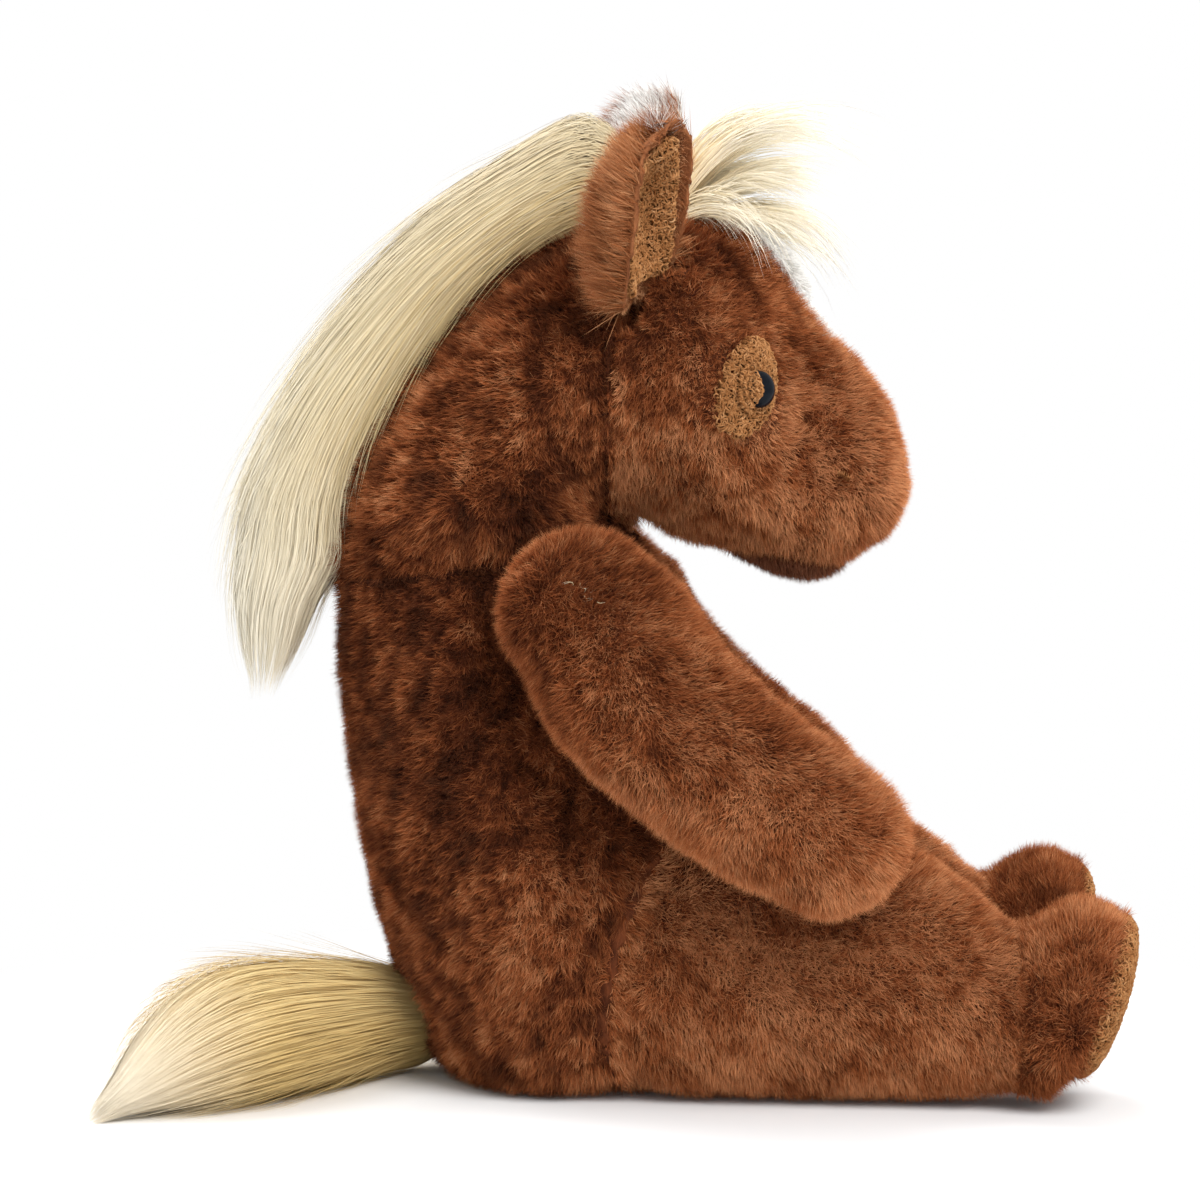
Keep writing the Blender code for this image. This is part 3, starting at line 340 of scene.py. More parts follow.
def start_group(name, colors, numbers, outputs):
    """A shader node group with named sockets, and its two end nodes."""
    group = bpy.data.node_groups.new(name, "ShaderNodeTree")
    for label in colors:
        group.interface.new_socket(name=label, in_out="INPUT", socket_type="NodeSocketColor")
    for label, kind in numbers:
        group.interface.new_socket(name=label, in_out="INPUT", socket_type=kind)
    for label, kind in outputs:
        group.interface.new_socket(name=label, in_out="OUTPUT", socket_type=kind)
    return group, group.nodes.new("NodeGroupInput"), group.nodes.new("NodeGroupOutput")


def place_group(tree, group, values):
    """A group in a material, with its own values."""
    node = tree.nodes.new("ShaderNodeGroup")
    node.node_tree = group
    for label, value in values.items():
        node.inputs[label].default_value = value
    return node


TONE_NAMES = ("Darkest", "Dark", "Middle", "Light", "Palest")


def make_strand_group():
    """Colour of a strand from its root to its tip and from its darkest to its palest tone. The root
    tint is painted shade deep in the pile, and on golden hair also its own colour; the tip tint is
    partly the hair's own paler ends and partly painted light caught by the tips.
    """
    group, start, end = start_group("strand_colour", (*TONE_NAMES, "Root Tint And Painted Shade", "Tip Tint And Painted Light"),
                                    (("Tip Share", "NodeSocketFloat"),),
                                    (("Color", "NodeSocketColor"),))
    chart = group.nodes.new("ShaderNodeUVMap")
    chart.uv_map = CHART
    parts = group.nodes.new("ShaderNodeSeparateXYZ")
    group.links.new(chart.outputs["UV"], parts.inputs[0])
    way, tone = parts.outputs[0], parts.outputs[1]
    fleck, _ = noise(group, chart.outputs["UV"], 42.0)
    tone = math_node(group, "ADD", tone, math_node(group, "MULTIPLY_ADD", fleck, 0.10, -0.05))
    color = start.outputs["Darkest"]
    paler = TONE_NAMES[1:]
    for index, name in enumerate(paler):
        share = band(group, tone, index / len(paler), (index + 1) / len(paler))
        color = mix_colors(group, share, color, start.outputs[name])
    # The root tint darkens each strand towards its root: painted shade deep in the pile, and on
    # golden hair also its own golden colour.
    rise = band(group, way, 0.0, 0.75)
    rooted = mix_colors(group, rise, start.outputs["Root Tint And Painted Shade"], (1.0, 1.0, 1.0))
    color = mix_colors(group, 1.0, color, rooted, "MULTIPLY")
    # The tip tint pales each strand towards its tip: partly the hair's own colour, partly painted
    # light that the tips catch.
    tipped = math_node(group, "MULTIPLY", band(group, way, 0.55, 1.0), start.outputs["Tip Share"])
    color = mix_colors(group, tipped, color, start.outputs["Tip Tint And Painted Light"])
    group.links.new(color, end.inputs["Color"])
    return group


def make_backing_group():
    """Cloth under the strands: the colour of combed streaks, and the height of woven grain."""
    group, start, end = start_group(
        "backing_cloth", ("Dark", "Light"),
        (("Streak Size", "NodeSocketFloat"), ("Stretch", "NodeSocketVector")),
        (("Color", "NodeSocketColor"), ("Height", "NodeSocketFloat")))
    move = group.nodes.new("ShaderNodeMapping")
    group.links.new(own_place(group), move.inputs["Vector"])
    group.links.new(start.outputs["Stretch"], move.inputs["Scale"])
    streak, streak_node = noise(group, move.outputs[0], detail=5.0)
    streak_node.inputs["Roughness"].default_value = 0.65
    group.links.new(start.outputs["Streak Size"], streak_node.inputs["Scale"])
    share = band(group, streak, 0.35, 0.68)
    color = mix_colors(group, share, start.outputs["Dark"], start.outputs["Light"])
    group.links.new(color, end.inputs["Color"])
    grain = group.nodes.new("ShaderNodeTexVoronoi")
    grain_size = math_node(group, "MULTIPLY", start.outputs["Streak Size"], 3.0)
    group.links.new(grain_size, grain.inputs["Scale"])
    group.links.new(move.outputs[0], grain.inputs["Vector"])
    height = math_node(group, "MULTIPLY_ADD", grain.outputs["Distance"], 0.5, streak)
    group.links.new(height, end.inputs["Height"])
    return group


STRAND_GROUP = make_strand_group()
BACKING_GROUP = make_backing_group()


def start_material(name, roughness, specular=0.5):
    """A material with a plain shader, its node tree and that shader."""
    material = bpy.data.materials.new(name)
    material.use_nodes = True
    tree = material.node_tree
    shader = tree.nodes["Principled BSDF"]
    shader.inputs["Roughness"].default_value = roughness
    shader.inputs["Specular IOR Level"].default_value = specular
    return material, tree, shader


def strand_material(name, tones, root, tip, tip_share, roughness=0.8):
    """Material of pile or hair, with five tones from dark to pale."""
    material, tree, shader = start_material(name, roughness, 0.06)
    values = {label: (*tone, 1.0) for label, tone in zip(TONE_NAMES, tones)}
    values |= {"Root Tint And Painted Shade": (*root, 1.0), "Tip Tint And Painted Light": (*tip, 1.0), "Tip Share": tip_share}
    colour = place_group(tree, STRAND_GROUP, values)
    tree.links.new(colour.outputs["Color"], shader.inputs["Base Color"])
    return material


def backing_material(name, dark, light, size, stretch, depth):
    """Material of the cloth under the strands."""
    material, tree, shader = start_material(name, 0.9, 0.08)
    cloth = place_group(tree, BACKING_GROUP, {"Dark": (*dark, 1.0), "Light": (*light, 1.0),
                                              "Streak Size": size, "Stretch": stretch})
    tree.links.new(cloth.outputs["Color"], shader.inputs["Base Color"])
    raise_grain(tree, shader, cloth.outputs["Height"], 0.8, depth)
    return material


BROWN_TONES = ((0.040, 0.0105, 0.0052), (0.150, 0.039, 0.0140), (0.400, 0.118, 0.038),
               (0.665, 0.290, 0.125), (0.84, 0.79, 0.72))
EAR_TONES = ((0.045, 0.0135, 0.0065), (0.150, 0.047, 0.0180), (0.375, 0.130, 0.046),
             (0.61, 0.30, 0.14), (0.84, 0.79, 0.72))
DARK_TONES = ((0.030, 0.012, 0.008), (0.075, 0.028, 0.016), (0.145, 0.054, 0.029),
              (0.26, 0.098, 0.050), (0.36, 0.155, 0.085))
WHITE_TONES = ((0.70, 0.67, 0.62), (0.82, 0.80, 0.76), (0.90, 0.89, 0.86),
               (0.94, 0.93, 0.91), (0.96, 0.96, 0.95))
CREAM_TONES = ((0.47, 0.325, 0.145), (0.635, 0.495, 0.255), (0.72, 0.625, 0.425),
               (0.775, 0.725, 0.60), (0.85, 0.85, 0.83))
FORELOCK_TONES = ((0.60, 0.42, 0.19), (0.77, 0.60, 0.33), (0.86, 0.74, 0.50),
                  (0.91, 0.84, 0.67), (0.94, 0.91, 0.84))
TAIL_TONES = ((0.56, 0.39, 0.150), (0.68, 0.49, 0.200), (0.75, 0.575, 0.275),
              (0.82, 0.70, 0.45), (0.92, 0.87, 0.76))
GOLD_TONES = ((0.13, 0.048, 0.014), (0.25, 0.098, 0.031), (0.38, 0.172, 0.062),
              (0.49, 0.245, 0.102), (0.58, 0.335, 0.17))

# Tones, tint and painted shade of the root, tint and painted light of the tip and its share,
# roughness
CHESTNUT_PILE = strand_material("chestnut_pile", BROWN_TONES, (0.50, 0.44, 0.40),
                                (0.62, 0.265, 0.115), 0.20, 0.95)
EAR_PILE = strand_material("ear_pile", EAR_TONES, (0.56, 0.50, 0.46),
                           (0.60, 0.28, 0.13), 0.20, 0.95)
CHIN_PILE = strand_material("dark_chin_pile", DARK_TONES, (0.6, 0.55, 0.5),
                            (0.30, 0.125, 0.065), 0.2)
WHITE_PILE = strand_material("white_blaze_pile", WHITE_TONES, (0.92, 0.91, 0.88),
                             (0.96, 0.96, 0.95), 0.4)
CREAM_HAIR = strand_material("cream_hair", CREAM_TONES, (0.86, 0.82, 0.76),
                             (0.86, 0.84, 0.78), 0.40, 0.5)
FORELOCK_HAIR = strand_material("forelock_hair", FORELOCK_TONES, (1.0, 0.82, 0.54),
                                (0.95, 0.90, 0.79), 0.55, 0.5)
TAIL_HAIR = strand_material("tail_hair", TAIL_TONES, (1.0, 0.98, 0.92),
                            (0.89, 0.86, 0.79), 0.64, 0.5)
GOLD_CURLS = strand_material("golden_curls", GOLD_TONES, (0.60, 0.52, 0.42),
                             (0.55, 0.33, 0.15), 0.0, 0.75)

# Dark and light colour, size of the streaks, their stretch and the depth of the grain
BROWN_BACKING = backing_material("brown_backing", (0.050, 0.014, 0.006), (0.150, 0.042, 0.015),
                                 220.0, (1.0, 1.0, 0.5), 0.0008)
EAR_BACKING = backing_material("ear_backing", (0.16, 0.054, 0.021), (0.30, 0.110, 0.043),
                               260.0, (1.0, 1.0, 0.5), 0.0005)
CREAM_BACKING = backing_material("cream_backing", (0.66, 0.49, 0.25), (0.84, 0.70, 0.45),
                                 260.0, (0.5, 1.0, 0.5), 0.0006)
GOLD_BACKING = backing_material("golden_backing", (0.16, 0.062, 0.018), (0.32, 0.140, 0.048),
                                420.0, (1.0, 1.0, 1.0), 0.0005)
WHITE_BACKING = backing_material("white_backing", (0.76, 0.74, 0.69), (0.90, 0.89, 0.85),
                                 300.0, (1.0, 1.0, 1.0), 0.0004)
BAG_CLOTH = backing_material("bag_cloth", (0.56, 0.55, 0.51), (0.72, 0.71, 0.67),
                             520.0, (1.0, 1.0, 1.0), 0.0002)


def make_eye_material():
    """Black moulded eye: almost even, with faint polishing marks."""
    material, tree, shader = start_material("eye_gloss", 0.06, 0.05)
    marks, _ = noise(tree, own_place(tree), 900.0, 3.0)
    color = mix_colors(tree, marks, (0.0035, 0.004, 0.006), (0.008, 0.010, 0.014))
    tree.links.new(color, shader.inputs["Base Color"])
    rough = math_node(tree, "MULTIPLY_ADD", marks, 0.06, 0.03)
    tree.links.new(rough, shader.inputs["Roughness"])
    return material


def make_nylon_material():
    """White moulded washer with fine speckle."""
    material, tree, shader = start_material("washer_nylon", 0.45)
    speck, _ = noise(tree, own_place(tree), 1500.0)
    color = mix_colors(tree, speck, (0.70, 0.70, 0.67), (0.80, 0.80, 0.78))
    tree.links.new(color, shader.inputs["Base Color"])
    raise_grain(tree, shader, speck, 0.2, 0.0001)
    return material


EYE_GLOSS = make_eye_material()
WASHER_NYLON = make_nylon_material()


# The solids of the frame, searched to see which parts of each skin lie free

def mesh_arrays(mesh):
    """Points, triangles and triangle normals of a mesh."""
    points = np.empty(len(mesh.vertices) * 3, dtype=np.float32)
    mesh.vertices.foreach_get("co", points)
    mesh.calc_loop_triangles()
    corners = np.empty(len(mesh.loop_triangles) * 3, dtype=np.int32)
    mesh.loop_triangles.foreach_get("vertices", corners)
    points = points.reshape(-1, 3).astype(float)
    corners = corners.reshape(-1, 3)
    a, b, c = (points[corners[:, k]] for k in range(3))
    return points, corners, np.cross(b - a, c - a)


def search_tree(nodes):
    """One search tree over some solids, and the node that each triangle belongs to."""
    every_point = []
    every_corner = []
    owners = []
    offset = 0
    for name in nodes:
        points, corners, _ = mesh_arrays(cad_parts[name].data)
        every_point.append(points)
        every_corner.append(corners + offset)
        owners += [name] * len(corners)
        offset += len(points)
    tree = BVHTree.FromPolygons(np.concatenate(every_point).tolist(),
                                np.concatenate(every_corner).tolist())
    return tree, owners


SOLIDS, OWNERS = search_tree(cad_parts)
HEAD_TREE, _ = search_tree(["head"])
PANEL_TREES = [search_tree([panel])[0] for panel in ("chin", "blaze")]


def free_room(node, point, normal, reach):
    """How far the next solid is along a normal, and the way out from between the two."""
    here = Vector(point)
    way = Vector(normal)
    gone = 0.0
    for _ in range(4):
        hit, hit_normal, index, distance = SOLIDS.ray_cast(here, way, reach - gone)
        if hit is None:
            return reach, normal
        gone += distance
        leaving = hit_normal.dot(way) > 0
        laid_on = node in ("chin", "blaze") and OWNERS[index] in (node, "head")
        if laid_on or (OWNERS[index] == node and leaving):
            here = hit + way * RAY_STEP
            gone = 0.0
            continue
        return (0.0, normal) if leaving else (gone, np.array(way + hit_normal))
    return reach, normal


def cover_over(point, way):
    """How deep a point lies under the outer surface of the solids, along a way out."""
    here = Vector(point)
    way = Vector(way)
    gone = 0.0
    covered = 0.0
    for _ in range(5):
        hit, normal, _, distance = SOLIDS.ray_cast(here, way, COVER_REACH - gone)
        if hit is None:
            break
        gone += distance + RAY_STEP
        if normal.dot(way) > 0:
            covered = gone
        elif gone - covered > 0.001:
            break
        here = hit + way * RAY_STEP
    return covered


def head_normals(points):
    """Outward directions of the head's surface nearest to points of the panels on it."""
    return np.array([HEAD_TREE.find_nearest(Vector(point))[1] for point in points])


# Places on the horse

def kind_of(node):
    """The kind of piece that a node is, the same for right and left."""
    return node.split("_")[-1]


def ear_frame(node):
    """Along, across, open side and base of the ear that a node belongs to."""
    return tuple(np.array(part) for part in EAR_FRAMES[node.split("_")[0]])


def near_plane(points, plane):
    """Distance from points to a plane."""
    spot, normal = (np.array(part) for part in plane)
    return np.abs((points - spot) @ normal)


def near_line(points, line):
    """Distance in the side view from points to a line of (x, z) points."""
    flat = points[:, (0, 2)]
    best = np.full(len(points), np.inf)
    for first, second in zip(line, line[1:]):
        a = np.array(first)
        ab = np.array(second) - a
        share = np.clip((flat - a) @ ab / (ab @ ab), 0, 1)
        best = np.minimum(best, np.linalg.norm(flat - a - share[:, None] * ab, axis=1))
    return best


def creased(node, points, width=1.0):
    """For each crease of a node: how much every point lies in it, and how deep it is."""
    for line, reach, dip in CREASES.get(node, ()):
        is_plane = len(line[0]) == 3
        gap = near_plane(points, line) if is_plane else near_line(points, line)
        yield 1 - eased(0, width * reach, gap), dip


def side_distance(points, middle):
    """Distance to a spot that is mirrored on both sides of the horse."""
    folded = points.copy()
    folded[:, 1] = np.abs(folded[:, 1])
    return np.linalg.norm(folded - np.array(middle), axis=1)


def patch_closeness(points):
    """1 at the eye patches, 0 a finger's breadth away."""
    best = np.zeros(len(points))
    for _, _, _, spot in EYE_FRAMES.values():
        distance = np.linalg.norm(points - np.array(spot), axis=1)
        best = np.maximum(best, 1 - eased(PATCH_NEAR, PATCH_FAR, distance))
    return best


# The stuffed skins

def rounded_copy(node, voxel, rounds):
    """A node's mesh with its facets rounded over."""
    draft = bpy.data.objects.new("draft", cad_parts[node].data.copy())
    bpy.context.scene.collection.objects.link(draft)
    remesh = draft.modifiers.new("remesh", "REMESH")
    remesh.mode = "VOXEL"
    remesh.voxel_size = voxel
    soften = draft.modifiers.new("soften", "SMOOTH")
    soften.factor = 0.5
    soften.iterations = rounds
    bpy.context.view_layer.update()
    seen = draft.evaluated_get(bpy.context.evaluated_depsgraph_get())
    mesh = bpy.data.meshes.new_from_object(seen)
    bpy.data.objects.remove(draft)
    return mesh


def vertex_normals(mesh):
    """Outward directions at the points of a mesh."""
    normals = np.empty(len(mesh.vertices) * 3, dtype=np.float32)
    mesh.vertex_normals.foreach_get("vector", normals)
    return normals.reshape(-1, 3).astype(float)


def seam_contact(node, points, normals):
    """How much each point belongs to a seam, the way across that seam, and the points in it."""
    touching = [index for index, (point, normal) in enumerate(zip(points, normals))
                if free_room(node, point, normal, SEAM_REACH)[0] < SEAM_REACH - 0.0001]
    nearness = np.zeros(len(points))
    across = np.zeros_like(points)
    marks = np.zeros(len(points), dtype=bool)
    if not touching:
        return nearness, across, marks
    tree = KDTree(len(touching))
    for index in touching:
        tree.insert(points[index], index)
    tree.balance()
    for index, point in enumerate(points):
        found = tree.find_n(point, 6)
        nearness[index] = found[0][2]
        across[index] = normals[[item[1] for item in found]].mean(axis=0)
    marks[touching] = True
    return 1 - eased(SEAM_NEAR, SEAM_FAR, nearness), unit(across), marks


def held_at_seams(node, points, normals, inward):
    """Moves that draw a skin in by its pile, but hold it where it is sewn to another piece."""
    near, across, marks = seam_contact(node, points, normals)
    if node == "head":
        under = [any(tree.find_nearest(Vector(point), 0.003)[0] for tree in PANEL_TREES)
                 for point in points]
        near[under] = 0.0
        marks[under] = False
    facing = np.sum(normals * across, axis=1)
    freely = unit(normals - across * facing[:, None])
    share = near * (1 - eased(0.75, 0.95, facing))
    move = -normals * inward[:, None]
    move = move * (1 - share)[:, None] - freely * (inward * share)[:, None]
    move = move + across * (SEAM_TUCK * share)[:, None]
    move[marks] = SEAM_OVERLAP * normals[marks]
    return move


def stuffed_skin(node, body, material, voxel, rounds, depth, sunk=0.0):
    """The skin under the pile: rounded, lumpy, drawn in by the pile and by its seams."""
    mesh = rounded_copy(node, voxel, rounds)
    points, _, _ = mesh_arrays(mesh)
    normals = vertex_normals(mesh)
    inward = np.full(len(points), depth)
    if node == "head":
        inward -= 0.55 * depth * patch_closeness(points)
    inward += LUMP_HEIGHT * (2 * lumps(points, LUMP_SIZE, 7) - 1) * min(1.0, depth / 0.004)
    for share, dip in creased(node, points):
        inward += dip * share
    deep_pile = depth > 0.002
    move = held_at_seams(node, points, normals, inward) if deep_pile else -normals * inward[:, None]
    if sunk:
        deep = np.full(len(points), sunk)
        if node == "chin":
            deep += 0.0010 * eased(0.010, 0.016, np.abs(points[:, 0] - 0.058))
        move = move - deep[:, None] * head_normals(points)
    if "_ear" in node:
        along, _, _, base = ear_frame(node)
        pulled, low = (0.0085, 0.047) if kind_of(node) == "lining" else (0.0065, 0.050)
        move = move - along * (pulled * eased(low, low + 0.016, (points - base) @ along))[:, None]
    points = points + move
    points[:, 2] = np.maximum(points[:, 2], SKIN_CLEARANCE)
    mesh.vertices.foreach_set("co", points.astype(np.float32).ravel())
    mesh.polygons.foreach_set("use_smooth", np.ones(len(mesh.polygons), dtype=bool))
    mesh.update()
    mesh.materials.clear()
    mesh.materials.append(material)
    skin = bpy.data.objects.new(f"{node}_skin", mesh)
    mesh.name = skin.name
    bpy.context.scene.collection.objects.link(skin)
    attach(skin, body)
    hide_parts(node)
    return skin


# Pile

def scattered(skin, node, depth, density, skip_below):
    """Roots on the free part of a skin, with normals, room, way out and depth of cover."""
    points, corners, crosses = mesh_arrays(skin.data)
    areas = np.linalg.norm(crosses, axis=1) / 2
    faces = unit(crosses)
    middles = points[corners].mean(axis=1)
    found = [free_room(node, m, n, ROOM_REACH)
             for m, n in zip(middles + faces * depth * 0.3, faces)]
    room = np.array([item[0] for item in found])
    escape = unit(np.array([item[1] for item in found]))
    cover = np.array([cover_over(m, w) if r > skip_below else 0.0
                      for m, w, r in zip(middles, escape, room)])
    free = np.where(room > skip_below, areas, 0.0)
    count = int(free.sum() * 1e6 * density)
    picks = RANDOM.choice(len(areas), size=count, p=free / free.sum())
    first = np.sqrt(RANDOM.random(count))
    second = RANDOM.random(count)
    weights = (1 - first, first * (1 - second), first * second)
    shading = vertex_normals(skin.data)
    roots, normals = (sum(values[corners[picks, k]] * weights[k][:, None] for k in range(3))
                      for values in (points, shading))
    free = np.clip(room[picks] / ROOM_REACH, 0.0, 1.0)
    return roots, unit(normals), free, escape[picks], cover[picks]


def combed(node, roots):
    """The way that the pile is combed at each root."""
    kind = kind_of(node)
    if kind == "ear":
        along, across, open_side, base = ear_frame(node)
        sideways = ((roots - base) @ across) / 0.02
        return 0.40 * along - 0.9 * open_side + across[None, :] * sideways[:, None] * 0.25
    flow = np.tile(COMBED.get(kind, COMBED_ELSEWHERE), (len(roots), 1))
    if kind == "head":
        flow[:, 1] = 4.0 * roots[:, 1]
    return flow


def ear_frost(node, roots, normals):
    """How white the back of an ear is at each root."""
    along, across, open_side, base = ear_frame(node)
    on_right = node.startswith("right")
    inner = (-1 if on_right else 1) * ((roots - base) @ across)
    frosted = eased(0.001, 0.008, inner) * eased(0.010, 0.026, (roots - base) @ along)
    frosted = frosted * eased(0.2, 0.6, -(normals @ open_side))
    return frosted * (1 - eased(0.007, 0.011, inner)) if on_right else frosted


def toned(node, roots, normals, base, spread):
    """Mottled tone of the pile at each root, from 0 to 1, darker in the creases as painted shade,
    or FROST where it is white.
    """
    way = unit(combed(node, roots))
    stretched = roots - way * (np.sum(roots * way, axis=1) * 0.5)[:, None]
    mottled = sum(strength * (lumps(stretched if follows else roots, size, seed) - 0.5)
                  for strength, size, seed, follows in MOTTLES)
    tone = base + spread * mottled
    for middle, radius, shift in SHADES.get(kind_of(node), ()):
        tone += shift * np.exp(-(side_distance(roots, middle) / radius) ** 2)
    # Darker pile along the creases and seams: painted shade.
    for share, _ in creased(node, roots, 0.5):
        tone -= 0.30 * share
    if node == "head":
        x, y, z = roots.T
        low = np.clip((0.266 - z) / 0.021, 0, 1)
        on_brow = (np.abs(y) < 0.0085 * (1 - 0.7 * low)) & (x > 0.045)
        tone[on_brow & (z > BLAZE_END[0]) & (z < BLAZE_END[1])] = FROST
    if kind_of(node) == "ear":
        _, _, open_side, _ = ear_frame(node)
        frosted = ear_frost(node, roots, normals)
        tone = (tone + 0.10 * eased(0.0, 0.5, normals @ open_side)) * (1 - 0.6 * frosted)
        tone = np.where(RANDOM.random(len(roots)) < 0.82 * frosted, FROST, tone)
    return tone


def strand_lengths(node, roots, normals, room, cover, depth, length, frosty):
    """Length of the pile at each root."""
    long = length * (0.70 + 0.45 * RANDOM.random(len(roots))) * (0.80 + 0.20 * room)
    long = long * np.clip((cover + 0.0012) / (depth + 0.0012), 0.30, 1.15)
    long = long * (0.80 + 0.4 * lumps(roots, 0.006, 41))
    if node == "head":
        long = long * (1 - 0.35 * patch_closeness(roots)) * np.where(frosty, 1.35, 1.0)
    if kind_of(node) == "ear":
        along, _, open_side, base = ear_frame(node)
        facing = normals @ open_side
        low = 1 - eased(0.004, 0.036, (roots - base) @ along)
        long = long * (1 - 0.72 * eased(-0.10, 0.35, facing))
        long = long * (1 + (0.25 + 0.55 * low) * eased(0.1, 0.7, -facing))
    for share, _ in creased(node, roots, 0.5):
        long = long * (1 - 0.4 * share)
    return long


def tufts(roots):
    """The cell of its tuft for each root, and the middle of that tuft."""
    warped = roots + 0.0016 * swirl(roots, 0.003, 51)
    cells = np.floor(warped / TUFT_SIZE).astype(np.int64)
    centre = np.stack([hashed(cells, 61 + k) for k in range(3)], axis=1)
    return cells, (cells + 0.2 + 0.6 * centre) * TUFT_SIZE


def pile(node, body, skin, material, depth, length, density, base, spread, lean_deg=36.0,
         tufted=0.7, skip_below=0.0005, wild=0.30):
    """Strands of pile over the free part of a skin."""
    roots, normals, room, escape, cover = scattered(skin, node, depth, density, skip_below)
    count = len(roots)
    tone = toned(node, roots, normals, base, spread)
    frosty = tone == FROST
    crowded = 0.85 * (1 - room)[:, None]
    flow = combed(node, roots)
    size = np.linalg.norm(flow, axis=1, keepdims=True)
    flow = flow + size * (0.85 * swirl(roots, 0.020, 21) + 0.60 * swirl(roots, 0.006, 31))
    flow = flow + 1.6 * wild * size * RANDOM.normal(size=(count, 3))
    flow = along_surface(flow, normals)
    long = strand_lengths(node, roots, normals, room, cover, depth, length, frosty)
    lean = np.radians(lean_deg) * (0.6 + 0.8 * RANDOM.random(count))
    way = normals * np.cos(lean)[:, None] + flow * np.sin(lean)[:, None]
    way = unit(way * (1 - crowded) + escape * crowded)
    way = unit(way + 0.5 * wild * RANDOM.normal(size=(count, 3)))
    cells, centre = tufts(roots)
    pull = centre - roots
    pull = pull - normals * np.sum(pull * normals, axis=1)[:, None]
    strength = tufted * (0.40 + 0.60 * hashed(cells, 71))
    tips = roots + way * long[:, None] + pull * strength[:, None]
    tone = tone + 0.12 * (hashed(cells, 81) - 0.5) + 0.08 * RANDOM.normal(size=count)
    tone = np.clip(tone, 0.01, 0.99 if node == "blaze" else 0.76)
    turn = 0.6 * RANDOM.normal(size=count)
    ahead = unit(tips - roots)
    across = unit(np.cross(ahead, normals))
    across = across * np.cos(turn)[:, None] + np.cross(ahead, across) * np.sin(turn)[:, None]
    widths = PILE_WIDTH * (0.75 + 0.5 * RANDOM.random(count))
    for label, chosen, paint in (("pile", ~frosty, material), ("frost", frosty, WHITE_PILE)):
        which = np.flatnonzero(chosen)
        pieces = math.ceil(len(which) / PILE_CHUNK)
        for index in range(pieces):
            part = which[index::pieces]
            blades(f"{node}_{label}_{index + 1}", roots[part], tips[part], across[part],
                   widths[part], tone[part], paint, body)


# Long hair

def row_spline(rows, shares):
    """Values of a table of rows at shares of its length, smoothly joined."""
    rows = np.array(rows)
    place = np.clip(shares, 0, 1) * (len(rows) - 1)
    index = np.clip(place.astype(int), 0, len(rows) - 2)
    t = (place - index)[..., None]
    before = rows[np.maximum(index - 1, 0)]
    start = rows[index]
    end = rows[index + 1]
    after = rows[np.minimum(index + 2, len(rows) - 1)]
    slope_in = (end - before) / 2
    slope_out = (after - start) / 2
    rise = end - start
    return (start + slope_in * t + (3 * rise - 2 * slope_in - slope_out) * t ** 2
            + (slope_in + slope_out - 2 * rise) * t ** 3)


def even_rows(rows, frame_of, count=40):
    """A table of rows at even steps of length along its middle line, and that length."""
    dense = row_spline(rows, np.linspace(0, 1, 400))
    middle = frame_of(dense)[0]
    gone = np.concatenate(([0], np.cumsum(np.linalg.norm(np.diff(middle, axis=0), axis=1))))
    wanted = np.linspace(0, gone[-1], count)
    columns = [np.interp(wanted, gone, dense[:, k]) for k in range(dense.shape[1])]
    return np.stack(columns, axis=1), gone[-1]


def between(rows, shares):
    """Values of evenly spaced rows at shares of their length."""
    place = np.clip(shares, 0, 1) * (len(rows) - 1)
    index = np.clip(place.astype(int), 0, len(rows) - 2)
    part = (place - index)[..., None]
    return rows[index] * (1 - part) + rows[index + 1] * part


def mane_frame(values):
    """Middle, half height vector and half width vector of the mane at rows of its table."""
    zero = np.zeros(values.shape[:-1])
    top = np.stack((values[..., 0], zero, values[..., 1]), axis=-1)
    bottom = np.stack((values[..., 2], zero, values[..., 3]), axis=-1)
    return (top + bottom) / 2, (top - bottom) / 2, values[..., 4:5] * SIDEWAYS


def tail_frame(values):
    """Middle, half height vector and half width vector of the tail at rows of its table."""
    middle = np.stack((values[..., 0], values[..., 1], (values[..., 2] + values[..., 3]) / 2),
                      axis=-1)
    rise = (values[..., 2:3] - values[..., 3:4]) / 2 * UP
    return middle, rise, values[..., 4:5] * TAIL_SIDEWAYS


def from_middle(vector, amount):
    """Gradient of a place across a bundle, along one of its half vectors."""
    return vector / np.maximum(np.sum(vector * vector, -1, keepdims=True), 1e-9) * amount


